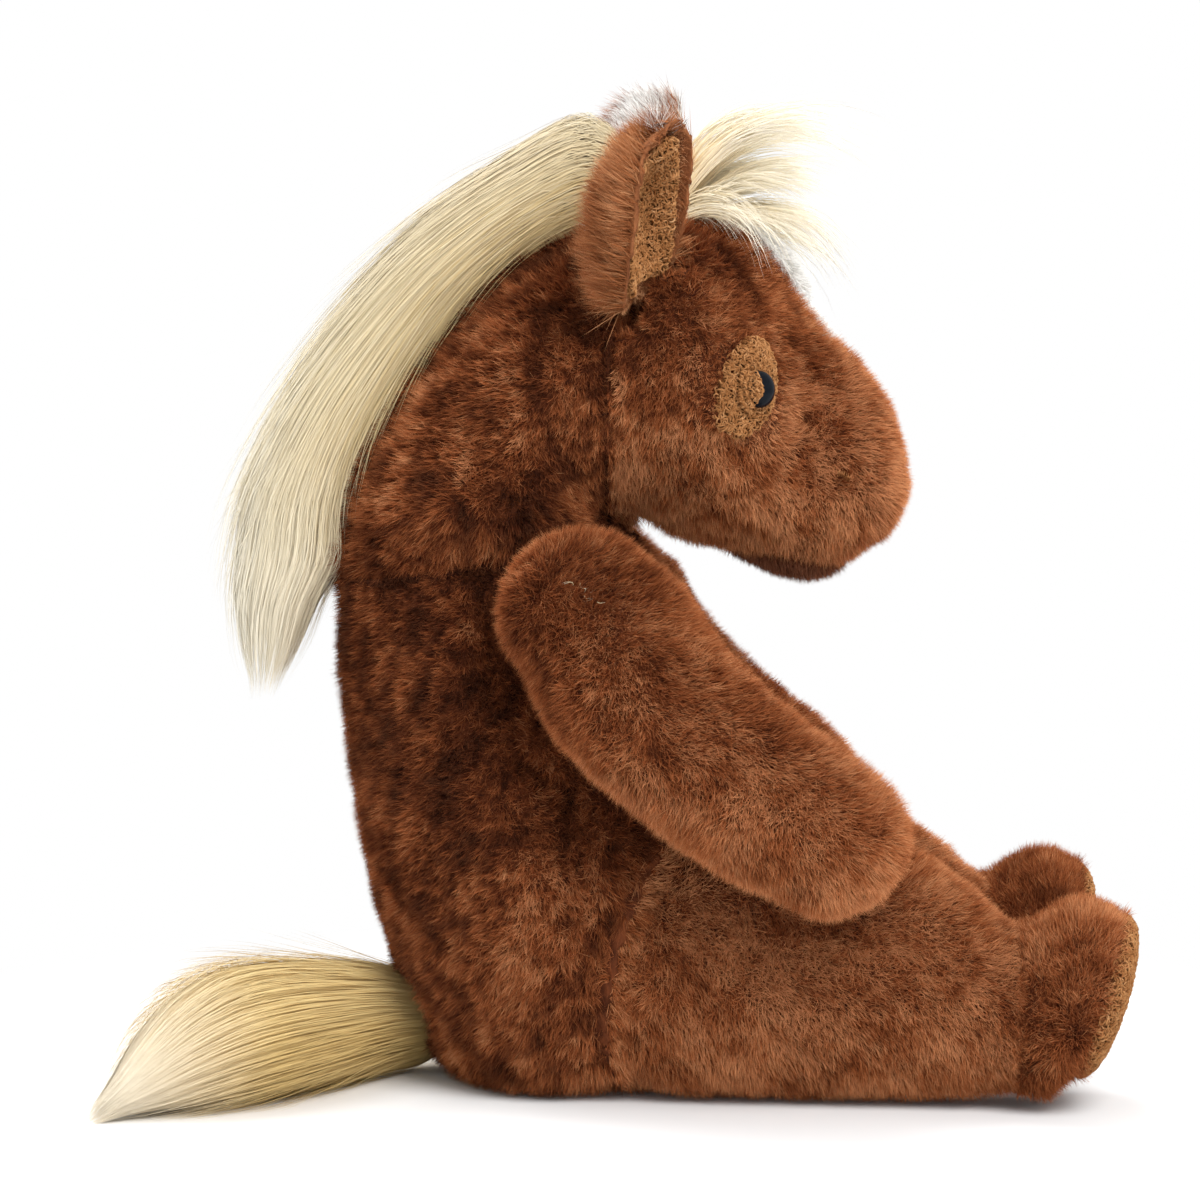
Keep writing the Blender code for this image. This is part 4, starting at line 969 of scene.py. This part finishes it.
def hair(name, body, slot, material, rows, frame_of, count, steps, starts, reaches, ends,
         stray, tone_of, root, opened, fill, gathered, waves):
    """Long strands that run through a volume in locks, from the first row to the last."""
    even, total = even_rows(rows, frame_of)
    angle = math.tau * RANDOM.random(count)
    radius = np.sqrt(fill + (1 - fill) * RANDOM.random(count))
    u = radius * np.cos(angle)
    v = radius * np.sin(angle)
    # Which lock each strand belongs to, and where along the bundle it starts and ends
    lock_angle = np.round(angle / math.tau * LOCK_ANGLES + 0.35 * RANDOM.normal(size=count))
    start = starts(RANDOM.random(count))
    end = np.minimum(start + reaches(RANDOM.random(count)), ends(RANDOM.random(count)))
    reach = np.maximum(end - start, 0.08)
    band_of = np.floor(start * 6 + 0.3 * RANDOM.normal(size=count))
    cells = np.stack((lock_angle.astype(np.int64) % LOCK_ANGLES, band_of.astype(np.int64),
                      np.zeros(count, dtype=np.int64)), axis=1)
    lock_turn = (lock_angle % LOCK_ANGLES) / LOCK_ANGLES * math.tau
    lock_turn = lock_turn + 0.35 * (hashed(cells, 5) - 0.5)
    lock_out = 0.94 - 0.08 * gathered + 0.16 * gathered * hashed(cells, 6)
    lock_u = lock_out * np.cos(lock_turn)
    lock_v = lock_out * np.sin(lock_turn)
    # Place across the bundle at each step: from the root outward, gathered, waved and stray
    t = np.linspace(0, 1, steps)[None, :]
    gather = gathered * (0.03 + 0.12 * hashed(cells, 7))[:, None] * eased(0.1, 1.0, t)
    ease = np.maximum(eased(-0.05, opened, t), 1 - eased(0.0, 0.05, start)[:, None])
    us = u[:, None] * (1 - gather) + lock_u[:, None] * gather
    vs = v[:, None] * (1 - gather) + lock_v[:, None] * gather
    us = us * ease + (root[0] + 0.3 * u[:, None]) * (1 - ease)
    vs = vs * ease + root[1] * v[:, None] * (1 - ease)
    phase = math.tau * hashed(cells, 8)[:, None] + 0.8 * RANDOM.normal(size=(count, 1))
    us = us + waves * np.sin(phase + t * 9.0) * t
    vs = vs + waves * np.cos(phase * 1.7 + t * 7.0) * t
    away = (RANDOM.random(count) < stray)[:, None] * (0.10 + 0.55 * RANDOM.random((count, 1)))
    shares = start[:, None] + reach[:, None] * t
    over = np.maximum(shares - 1, 0)
    under = np.minimum(shares, 0)
    us = us * (1 + away * t ** 2) * (1 + 3.0 * under)
    vs = vs * (1 + away * t ** 2) * (1 + 3.0 * under)
    # Paths in space, and on beyond either end of the bundle
    middle, rise, side = frame_of(between(even, shares))
    edge = frame_of(even[[0, 1, -2, -1]])[0]
    onward = unit(edge[3] - edge[2])
    inward = unit(edge[1] - edge[0])
    paths = middle + rise * us[..., None] + side * vs[..., None]
    paths = paths + onward * (over * total)[..., None] + inward * (under * total)[..., None]
    outward = unit(from_middle(rise, us[..., None]) + from_middle(side, vs[..., None]))
    outward = unit(outward + 0.22 * gathered * RANDOM.normal(size=(count, 1, 3)))
    tones = tone_of(us[:, steps // 2], start, hashed(cells, 9))
    tones = np.clip(tones + 0.045 * gathered * RANDOM.normal(size=count), 0.01, 0.99)
    widths = HAIR_WIDTH * (0.7 + 0.6 * RANDOM.random(count))
    pieces = math.ceil(count / HAIR_CHUNK)
    for k in range(pieces):
        cut = slice(k, None, pieces)
        ribbons(f"{name}_{k + 1}", paths[cut], outward[cut], widths[cut], tones[cut], material,
                body, slot, np.clip(shares[cut], 0, 1))


def lock(guide, radii, count, steps, width, tone, fan=0.0):
    """Paths, outward ways, widths and tones of a single lock of hair along a guide of points."""
    even = row_spline(guide, np.linspace(0, 1, steps))
    tangents = unit(np.gradient(even, axis=0))
    side = unit(np.cross(tangents, UP))
    rise = np.cross(side, tangents)
    angle = math.tau * RANDOM.random(count)
    out = np.sqrt(RANDOM.random(count))
    size = np.interp(np.linspace(0, 1, steps), np.linspace(0, 1, len(radii)), radii)
    u = (out * np.cos(angle))[:, None] * size[None, :]
    v = (out * np.sin(angle))[:, None] * size[None, :]
    t = np.linspace(0, 1, steps)[None, :]
    bend = RANDOM.normal(size=(count, 3, 1)) * fan
    spread = side[None] * u[..., None] + rise[None] * v[..., None]
    paths = even[None, :, :] + spread + (bend * (t ** 2)[:, None, :]).transpose(0, 2, 1)
    # Each strand ends at its own place in the last quarter or so of the guide
    cutoff = 0.72 + 0.28 * RANDOM.random(count)
    pick = np.clip(t * cutoff[:, None], 0, 1) * (steps - 1)
    index = np.clip(pick.astype(int), 0, steps - 2)
    part = (pick - index)[..., None]
    rows = np.arange(count)[:, None]
    paths = paths[rows, index] * (1 - part) + paths[rows, index + 1] * part
    outward = unit(unit(spread) + 0.5 * RANDOM.normal(size=(count, 1, 3)))
    widths = width * (0.7 + 0.6 * RANDOM.random(count))
    tones = np.clip(tone + 0.05 * RANDOM.normal(size=count), 0.01, 0.99)
    return paths, outward, widths, tones


def lock_piece(name, body, slot, locks, material):
    """One piece made of many locks."""
    parts = [np.concatenate(column) for column in zip(*locks)]
    return ribbons(name, *parts, material, body, slot)


def core(node, body, rows, frame_of, size, first, last):
    """The dense heart of a bundle of hair: a ribbed, rounded tube inside its volume."""
    even, _ = even_rows(rows, frame_of)
    rings, sides = 30, 36
    middle, rise, side = frame_of(row_spline(even, np.linspace(first, last, rings)))
    swell = size * np.sqrt(np.clip(1 - np.linspace(-0.99, 0.99, rings) ** 4, 0.0, 1.0))[:, None]
    angle = math.tau * np.arange(sides) / sides
    swell = swell * (1 + 0.05 * np.cos(6 * angle))[None, :]
    points = (middle[:, None] + rise[:, None] * (swell * np.cos(angle))[..., None]
              + side[:, None] * (swell * np.sin(angle))[..., None])
    place = np.arange(sides)
    after = (place + 1) % sides
    loops = [np.stack((k * sides + place, k * sides + after, (k + 1) * sides + after,
                       (k + 1) * sides + place), axis=1).ravel() for k in range(rings - 1)]
    loops += [place[::-1], (rings - 1) * sides + place]
    sizes = np.array([4] * (sides * (rings - 1)) + [sides, sides])
    item = object_from(f"{node}_core", points.reshape(-1, 3), np.concatenate(loops), sizes, None,
                       CREAM_BACKING, body)
    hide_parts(node)


# Curly panels

def curls(name, body, roots, normals):
    """Small loops of yarn standing close together on a panel."""
    count = len(roots)
    some = unit(np.cross(normals, RANDOM.normal(size=(count, 3))))
    other = np.cross(normals, some)
    tilt = 0.9 * RANDOM.random(count)
    lifted = unit(normals * np.cos(tilt)[:, None] + other * np.sin(tilt)[:, None])
    size = CURL_RADIUS * (0.7 + 0.6 * RANDOM.random(count))
    sweep = np.radians(200 + 130 * RANDOM.random(count))
    turn = np.linspace(-0.5, 0.5, CURL_STEPS)[None, :] * sweep[:, None]
    drift = np.linspace(-0.5, 0.5, CURL_STEPS)[None, :, None] * 0.0009
    paths = (roots[:, None, :] + (some[:, None, :] * np.sin(turn)[..., None]
             + lifted[:, None, :] * np.cos(turn)[..., None] * 0.9) * size[:, None, None]
             + other[:, None, :] * drift + normals[:, None, :] * (0.75 * size)[:, None, None])
    tone = 0.50 + 0.34 * (lumps(roots, 0.0035, 91) - 0.5) + 0.12 * RANDOM.normal(size=count)
    tangents = unit(np.gradient(paths, axis=1))
    binormal = unit(np.cross(tangents, other[:, None, :] + 0.01))
    third = np.cross(tangents, binormal)
    share = np.linspace(0, 1, CURL_STEPS)
    thick = CURL_WIDTH / 2 * np.sqrt(np.clip(1 - (2 * share - 1) ** 4, 0.08, 1))
    base = (np.arange(count)[:, None] * CURL_STEPS + np.arange(CURL_STEPS - 1)) * YARN_SIDES
    uvs = np.empty((count, CURL_STEPS, YARN_SIDES, 2))
    # Both ends of each loop count as its root and take the darker root tint: painted shade where
    # the yarn meets the panel.
    uvs[..., 0] = (1 - np.abs(2 * share - 1) ** 2)[None, :, None]
    ring = []
    loops = []
    for k in range(YARN_SIDES):
        angle = math.tau * k / YARN_SIDES
        ring.append(paths + (binormal * math.cos(angle) + third * math.sin(angle))
                    * thick[None, :, None])
        after = (k + 1) % YARN_SIDES
        loops.append(np.stack((base + k, base + after, base + YARN_SIDES + after,
                               base + YARN_SIDES + k), axis=2))
        uvs[:, :, k, 1] = tone[:, None] + 0.004 * (k - 1)
    points = np.stack(ring, axis=2).reshape(-1, 3)
    points[:, 2] = np.maximum(points[:, 2], STRAND_CLEARANCE)
    loops = np.stack(loops, axis=2).reshape(-1)
    sizes = np.full(len(loops) // 4, 4)
    object_from(name, points, loops, sizes, uvs, GOLD_CURLS, body)


# Eyes

EYE_RADIUS = 0.006
EYE_BASE = 0.0022            # height of the rim over the patch
EYE_RISE = 0.0040            # height of the dome over the rim
EYE_STEM_RADIUS = 0.002
EYE_STEM_LENGTH = 0.014
EYE_RINGS = 16
EYE_SIDES = 48


def lid(side):
    """Curls of the patch that bulge over the rear rim of the eye."""
    _, _, out, spot = (np.array(v) for v in EYE_FRAMES[side])
    back = unit(out * out[0] - np.array((1.0, 0.0, 0.0)))
    aside = np.cross(out, back)
    count = 460
    across = 0.0085 * (2 * RANDOM.random(count) - 1)
    behind = 0.0030 + 0.0052 * RANDOM.random(count) + 0.10 * across ** 2 / EYE_RADIUS
    distance = np.hypot(across, behind)
    dome = EYE_RISE * np.sqrt(np.clip(1 - (distance / EYE_RADIUS) ** 2, 0, 1))
    height = np.maximum(EYE_BASE + dome, 0.0008) + 0.0004
    height = np.where(distance > 0.0075, 0.0015, height)
    keep = distance < 0.0088
    roots = (spot + back * behind[:, None] + aside * across[:, None] + out * height[:, None])[keep]
    normals = np.tile(unit(out * 0.8 - back * 0.3), (len(roots), 1))
    curls(f"{side}_eye_lid_curls", "head", roots, normals)


def domed_eye(side):
    """A glossy dome with its rim and stem."""
    forward, left, out, spot = (np.array(v) for v in EYE_FRAMES[side])
    rim = EYE_BASE + 0.0003
    foot = EYE_BASE - EYE_STEM_LENGTH
    profile = [(0.0, foot), (EYE_STEM_RADIUS, foot), (EYE_STEM_RADIUS, EYE_BASE),
               (0.0054, EYE_BASE), (0.0059, EYE_BASE + 0.0001), (EYE_RADIUS, rim)]
    for step in range(1, EYE_RINGS):
        angle = math.pi / 2 * step / EYE_RINGS
        profile.append((EYE_RADIUS * math.cos(angle), rim + EYE_RISE * math.sin(angle)))
    profile.append((0.0, rim + EYE_RISE))
    points = []
    loops = []
    for row, (radius, height) in enumerate(profile):
        for k in range(EYE_SIDES):
            angle = math.tau * k / EYE_SIDES
            points.append(spot + forward * radius * math.cos(angle)
                          + left * radius * math.sin(angle) + out * height)
            if row < len(profile) - 1:
                here = row * EYE_SIDES
                after = (k + 1) % EYE_SIDES
                loops += [here + k, here + after, here + EYE_SIDES + after, here + EYE_SIDES + k]
    sizes = np.full(len(loops) // 4, 4)
    item = object_from(f"{side}_eye_dome", np.array(points), np.array(loops), sizes, None,
                       EYE_GLOSS, "head")
    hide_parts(f"{side}_eye")


# The horse, piece by piece

EAR_PILE_DEPTH = 0.0016
PANEL_PILE_DEPTH = 0.0004
FORELOCK_LOCKS = 13          # at each of its three levels
FORELOCK_STRANDS = 62
FORELOCK_STEPS = 12
FORELOCK_WIDTH = 0.00027
FORELOCK_HALF_SPREAD = 0.016
NOSTRIL = (0.0700, 0.2030)   # x and z of its first stitch
NOSTRIL_STITCHES = 7
STITCH_SPACING = (0.0006, -0.0003)
STITCH_LENGTH = 0.0013
SHOULDER_THREADS = 8


def build_pile():
    """The stuffed pieces with their pile, and the two plain pieces under the seat."""
    # Body, depth and length of pile, strands to a square millimetre, tone and its spread, lean
    # in degrees, and how far the strands gather in tufts
    plans = {
        "torso": ("torso", 0.0042, 0.0052, 4.8, 0.22, 0.48, 24, 0.7),
        "neck": ("neck", 0.0042, 0.0052, 4.8, 0.23, 0.48, 24, 0.7),
        "head": ("head", 0.0038, 0.0046, 5.2, 0.54, 0.38, 28, 0.5),
    }
    for side in ("right", "left"):
        plans[f"{side}_arm"] = (f"{side}_arm", 0.0040, 0.0048, 5.4, 0.58, 0.24, 30, 0.3)
        plans[f"{side}_leg"] = (f"{side}_leg", 0.0040, 0.0048, 5.2, 0.59, 0.28, 30, 0.4)
        plans[f"{side}_foot"] = (f"{side}_leg", 0.0040, 0.0050, 5.2, 0.49, 0.26, 30, 0.4)
    for node, (body, depth, *style) in plans.items():
        skin = stuffed_skin(node, body, BROWN_BACKING, voxel=0.0026, rounds=5, depth=depth)
        pile(node, body, skin, CHESTNUT_PILE, depth, *style)
    for side in ("right", "left"):
        node = f"{side}_ear"
        skin = stuffed_skin(node, node, EAR_BACKING, voxel=0.0013, rounds=3, depth=EAR_PILE_DEPTH)
        pile(node, node, skin, EAR_PILE, EAR_PILE_DEPTH, length=0.0076, density=6.2, base=0.50,
             spread=0.26, lean_deg=52, skip_below=0.0004, wild=0.15)
    # Base tone, how deep the panel is sunk into the head, and length of its pile
    for node, material, backing, base, sunk, length in (
            ("blaze", WHITE_PILE, WHITE_BACKING, 0.60, 0.0016, 0.0046),
            ("chin", CHIN_PILE, BROWN_BACKING, 0.90, 0.0036, 0.0037)):
        skin = stuffed_skin(node, "head", backing, voxel=0.0008, rounds=2,
                            depth=PANEL_PILE_DEPTH, sunk=sunk)
        pile(node, "head", skin, material, PANEL_PILE_DEPTH, length, density=6.0, base=base,
             spread=0.4)
    stuffed_skin("seat_panel", "torso", BROWN_BACKING, voxel=0.0008, rounds=1, depth=0.0003)
    stuffed_skin("pellet_pouch", "torso", BAG_CLOTH, voxel=0.0018, rounds=3, depth=0.0003)


def build_curly_panels():
    """Ear linings, eye patches and soles, with the lids over the eyes."""
    # Body, loops to a square millimetre, how far the panel is drawn in, and how far it is sunk
    for side in ("right", "left"):
        for node, body, density, inset, sunk in (
                (f"{side}_ear_lining", f"{side}_ear", 2.3, -0.0006, 0.0),
                (f"{side}_eye_patch", "head", 2.5, 0.0004, 0.0014),
                (f"{side}_sole", f"{side}_leg", 2.0, 0.0004, 0.0)):
            skin = stuffed_skin(node, body, GOLD_BACKING, voxel=0.0008, rounds=2, depth=inset,
                                sunk=sunk)
            roots, normals, *_ = scattered(skin, node, 0.0003, density, skip_below=0.0010)
            curls(f"{node}_curls", body, roots, normals)
        lid(side)


def build_forelock():
    """Three levels of locks that fall forward over the brow."""
    locks = []
    for level, guide in enumerate(FORELOCK_GUIDES):
        for _ in range(FORELOCK_LOCKS):
            y = FORELOCK_HALF_SPREAD * (2 * RANDOM.random() - 1)
            lift = 0.0018 * RANDOM.normal()
            tip_lift = 0.0022 * RANDOM.normal()
            drift = 0.0075 * RANDOM.normal() + 0.45 * y
            ends = 1 - 0.55 * RANDOM.random() ** 2
            points = []
            for step, (x, z) in enumerate(guide):
                t = step / (len(guide) - 1)
                points.append((guide[0][0] + (x - guide[0][0]) * ends,
                               y * (1 + 0.5 * t) + drift * t * t,
                               z + lift * min(1.0, 3 * t) + tip_lift * t * t))
            tone = 0.69 + 0.06 * (2 - level)
            locks.append(lock(points, FORELOCK_RADII, FORELOCK_STRANDS, FORELOCK_STEPS,
                              FORELOCK_WIDTH, tone, fan=0.0040))
    item = lock_piece("forelock_hair", "head", "forelock", locks, FORELOCK_HAIR)
    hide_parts("forelock")


def on_surface(x, z, side):
    """The point of the horse's side at a place of the side view."""
    y_way = 1.0 if side == "right" else -1.0
    hit, *_ = SOLIDS.ray_cast(Vector((x, -0.3 * y_way, z)), Vector((0.0, y_way, 0.0)))
    return np.array(hit)


def build_threads():
    """Nostril stitches, and the loose curly ends of thread on the right shoulder."""
    for side in ("right", "left"):
        away = np.array((0.0, -1.0 if side == "right" else 1.0, 0.0))
        tilt = STITCH_LENGTH * np.array((0.35, 0.0, 1.0))
        stitches = []
        for k in range(NOSTRIL_STITCHES):
            spot = on_surface(NOSTRIL[0] + STITCH_SPACING[0] * k,
                              NOSTRIL[1] + STITCH_SPACING[1] * k, side)
            guide = (spot - tilt - 0.0030 * away, spot - 0.3 * tilt + 0.0006 * away,
                     spot + 0.3 * tilt + 0.0008 * away, spot + tilt - 0.0030 * away)
            stitches.append(lock(guide, (0.00015, 0.00015), count=5, steps=7, width=0.00034,
                                 tone=0.42))
        lock_piece(f"{side}_nostril_stitches", "head", "head", stitches, GOLD_CURLS)
    away = np.array((0.0, -1.0, 0.0))
    curly = []
    for _ in range(SHOULDER_THREADS):
        x = -0.0215 + 0.017 * RANDOM.random()
        z = 0.1635 - 0.40 * x + 0.0012 * RANDOM.normal()
        size = 0.0006 + 0.0012 * RANDOM.random()
        middle = on_surface(x, z, "right") + 0.0010 * away
        turn = math.tau * RANDOM.random() + np.linspace(0, 2.0 + 2.2 * RANDOM.random(), 9)
        guide = [middle + size * np.array((1.4 * math.cos(a), 0.0, math.sin(a) * (1 - 0.08 * i)))
                 + 0.00015 * i * away for i, a in enumerate(turn)]
        curly.append(lock(guide, (0.0001, 0.0001), count=1, steps=16, width=0.00010, tone=0.40))
    lock_piece("right_shoulder_threads", "right_arm", "right_arm", curly, CREAM_HAIR)


def build_hair():
    """Mane, tail and forelock, and the loose threads."""
    core("mane", "neck", MANE_ROWS, mane_frame, size=0.86, first=0.03, last=0.78)
    core("tail", "tail", TAIL_ROWS, tail_frame, size=0.90, first=-0.02, last=0.80)
    hair("mane_hair", "neck", "mane", CREAM_HAIR, MANE_ROWS, mane_frame, count=27000, steps=11,
         starts=lambda r: 0.74 * r ** 1.15 - 0.01,
         reaches=lambda r: 0.26 + 0.32 * r,
         ends=lambda r: 0.72 + 0.30 * r ** 1.6,
         stray=0.09,
         # The mane's upper, outer side is painted paler: painted light.
         tone_of=lambda u, start, tint: 0.40 + 0.19 * u + 0.12 * start + 0.07 * (tint - 0.5),
         root=(-0.7, 0.6), opened=0.34, fill=0.78, gathered=0.8, waves=0.018)
    hair("tail_hair", "tail", "tail", TAIL_HAIR, TAIL_ROWS, tail_frame, count=21000, steps=10,
         starts=lambda r: 0.54 * r ** 1.7 - 0.19,
         reaches=lambda r: 0.48 + 0.66 * r,
         ends=lambda r: 0.78 + 0.27 * r,
         stray=0.08,
         # The tail's upper half is painted paler: painted light.
         tone_of=lambda u, start, tint: 0.33 + 0.20 * np.maximum(u, 0) + 0.05 * (tint - 0.5),
         root=(0.0, 0.6), opened=0.08, fill=0.91, gathered=0.35, waves=0.010)
    build_forelock()
    build_threads()


build_pile()
build_curly_panels()
build_hair()
for side in ("right", "left"):
    domed_eye(side)
    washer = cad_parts[f"{side}_eye_washer"]
    washer.data.materials.clear()
    washer.data.materials.append(WASHER_NYLON)


# Studio

AMBIENT_LIGHT = 0.72         # strength of the white world on the horse, 1 where it is seen
FLOOR_HALF_SIDE = 3.0
FLOOR_FADE = (0.17, 0.30)    # distances between which the floor turns into the backdrop


def floor_material():
    """Pale floor that fades into the white backdrop away from the horse."""
    material, tree, shader = start_material("studio_floor", 0.9, 0.0)
    place = own_place(tree)
    grain, _ = noise(tree, place, 30.0)
    tone = mix_colors(tree, grain, (0.93, 0.93, 0.93), (0.95, 0.95, 0.95))
    tree.links.new(tone, shader.inputs["Base Color"])
    length = tree.nodes.new("ShaderNodeVectorMath")
    length.operation = "LENGTH"
    tree.links.new(place, length.inputs[0])
    far = band(tree, length.outputs["Value"], *FLOOR_FADE)
    light = tree.nodes.new("ShaderNodeEmission")
    seen = tree.nodes.new("ShaderNodeLightPath")
    mixed = tree.nodes.new("ShaderNodeMixShader")
    share = math_node(tree, "MULTIPLY", far, seen.outputs["Is Camera Ray"])
    tree.links.new(share, mixed.inputs[0])
    tree.links.new(shader.outputs[0], mixed.inputs[1])
    tree.links.new(light.outputs[0], mixed.inputs[2])
    tree.links.new(mixed.outputs[0], tree.nodes["Material Output"].inputs["Surface"])
    return material


def build_floor():
    """A square of floor, far wider than the horse."""
    far = FLOOR_HALF_SIDE
    mesh = bpy.data.meshes.new("floor")
    mesh.from_pydata([(-far, -far, 0), (far, -far, 0), (far, far, 0), (-far, far, 0)],
                     [], [(0, 1, 2, 3)])
    mesh.materials.append(floor_material())
    floor = bpy.data.objects.new("floor", mesh)
    bpy.context.scene.collection.objects.link(floor)


def build_world():
    """White surroundings that light the horse softly from all sides."""
    world = bpy.data.worlds.new("studio")
    bpy.context.scene.world = world
    world.use_nodes = True
    tree = world.node_tree
    background = tree.nodes["Background"]
    seen = tree.nodes.new("ShaderNodeLightPath")
    direct = math_node(tree, "MAXIMUM", seen.outputs["Is Camera Ray"],
                       seen.outputs["Is Transmission Ray"])
    strength = math_node(tree, "MULTIPLY_ADD", direct, 1.0 - AMBIENT_LIGHT, AMBIENT_LIGHT)
    background.inputs["Color"].default_value = (1.0, 1.0, 1.0, 1.0)
    tree.links.new(strength, background.inputs["Strength"])


def area_light(name, location, target, size, power):
    """A round softbox that points at a target."""
    lamp = bpy.data.lights.new(name, "AREA")
    lamp.shape = "DISK"
    lamp.size = size
    lamp.energy = power
    item = bpy.data.objects.new(name, lamp)
    item.location = location
    aim = Vector(target) - Vector(location)
    item.rotation_euler = aim.to_track_quat("-Z", "Y").to_euler()
    bpy.context.scene.collection.objects.link(item)


build_floor()
build_world()
area_light("key_softbox", (0.55, -1.10, 1.25), (0.0, 0.0, 0.15), size=0.9, power=22.0)
area_light("top_softbox", (-0.25, 0.35, 1.50), (0.0, 0.0, 0.15), size=1.0, power=12.0)
area_light("rim_softbox", (-1.15, 0.50, 0.70), (-0.05, 0.0, 0.12), size=0.8, power=7.0)

# In pixels of the photograph: focal length, and how far the middle lies below eye level
FOCAL_PIXELS = 3600
PIXELS_DOWN = 275
camera = bpy.data.objects.new("camera", bpy.data.cameras.new("camera"))
camera.data.lens = 108.0
camera.data.sensor_width = 36.0
camera.location = (-0.007, -1.2, 0.2505)
camera.rotation_euler = (math.pi / 2 - math.atan(PIXELS_DOWN / FOCAL_PIXELS), 0.0, 0.0)
bpy.context.scene.collection.objects.link(camera)
bpy.context.scene.camera = camera
bpy.context.scene.view_settings.view_transform = "Standard"
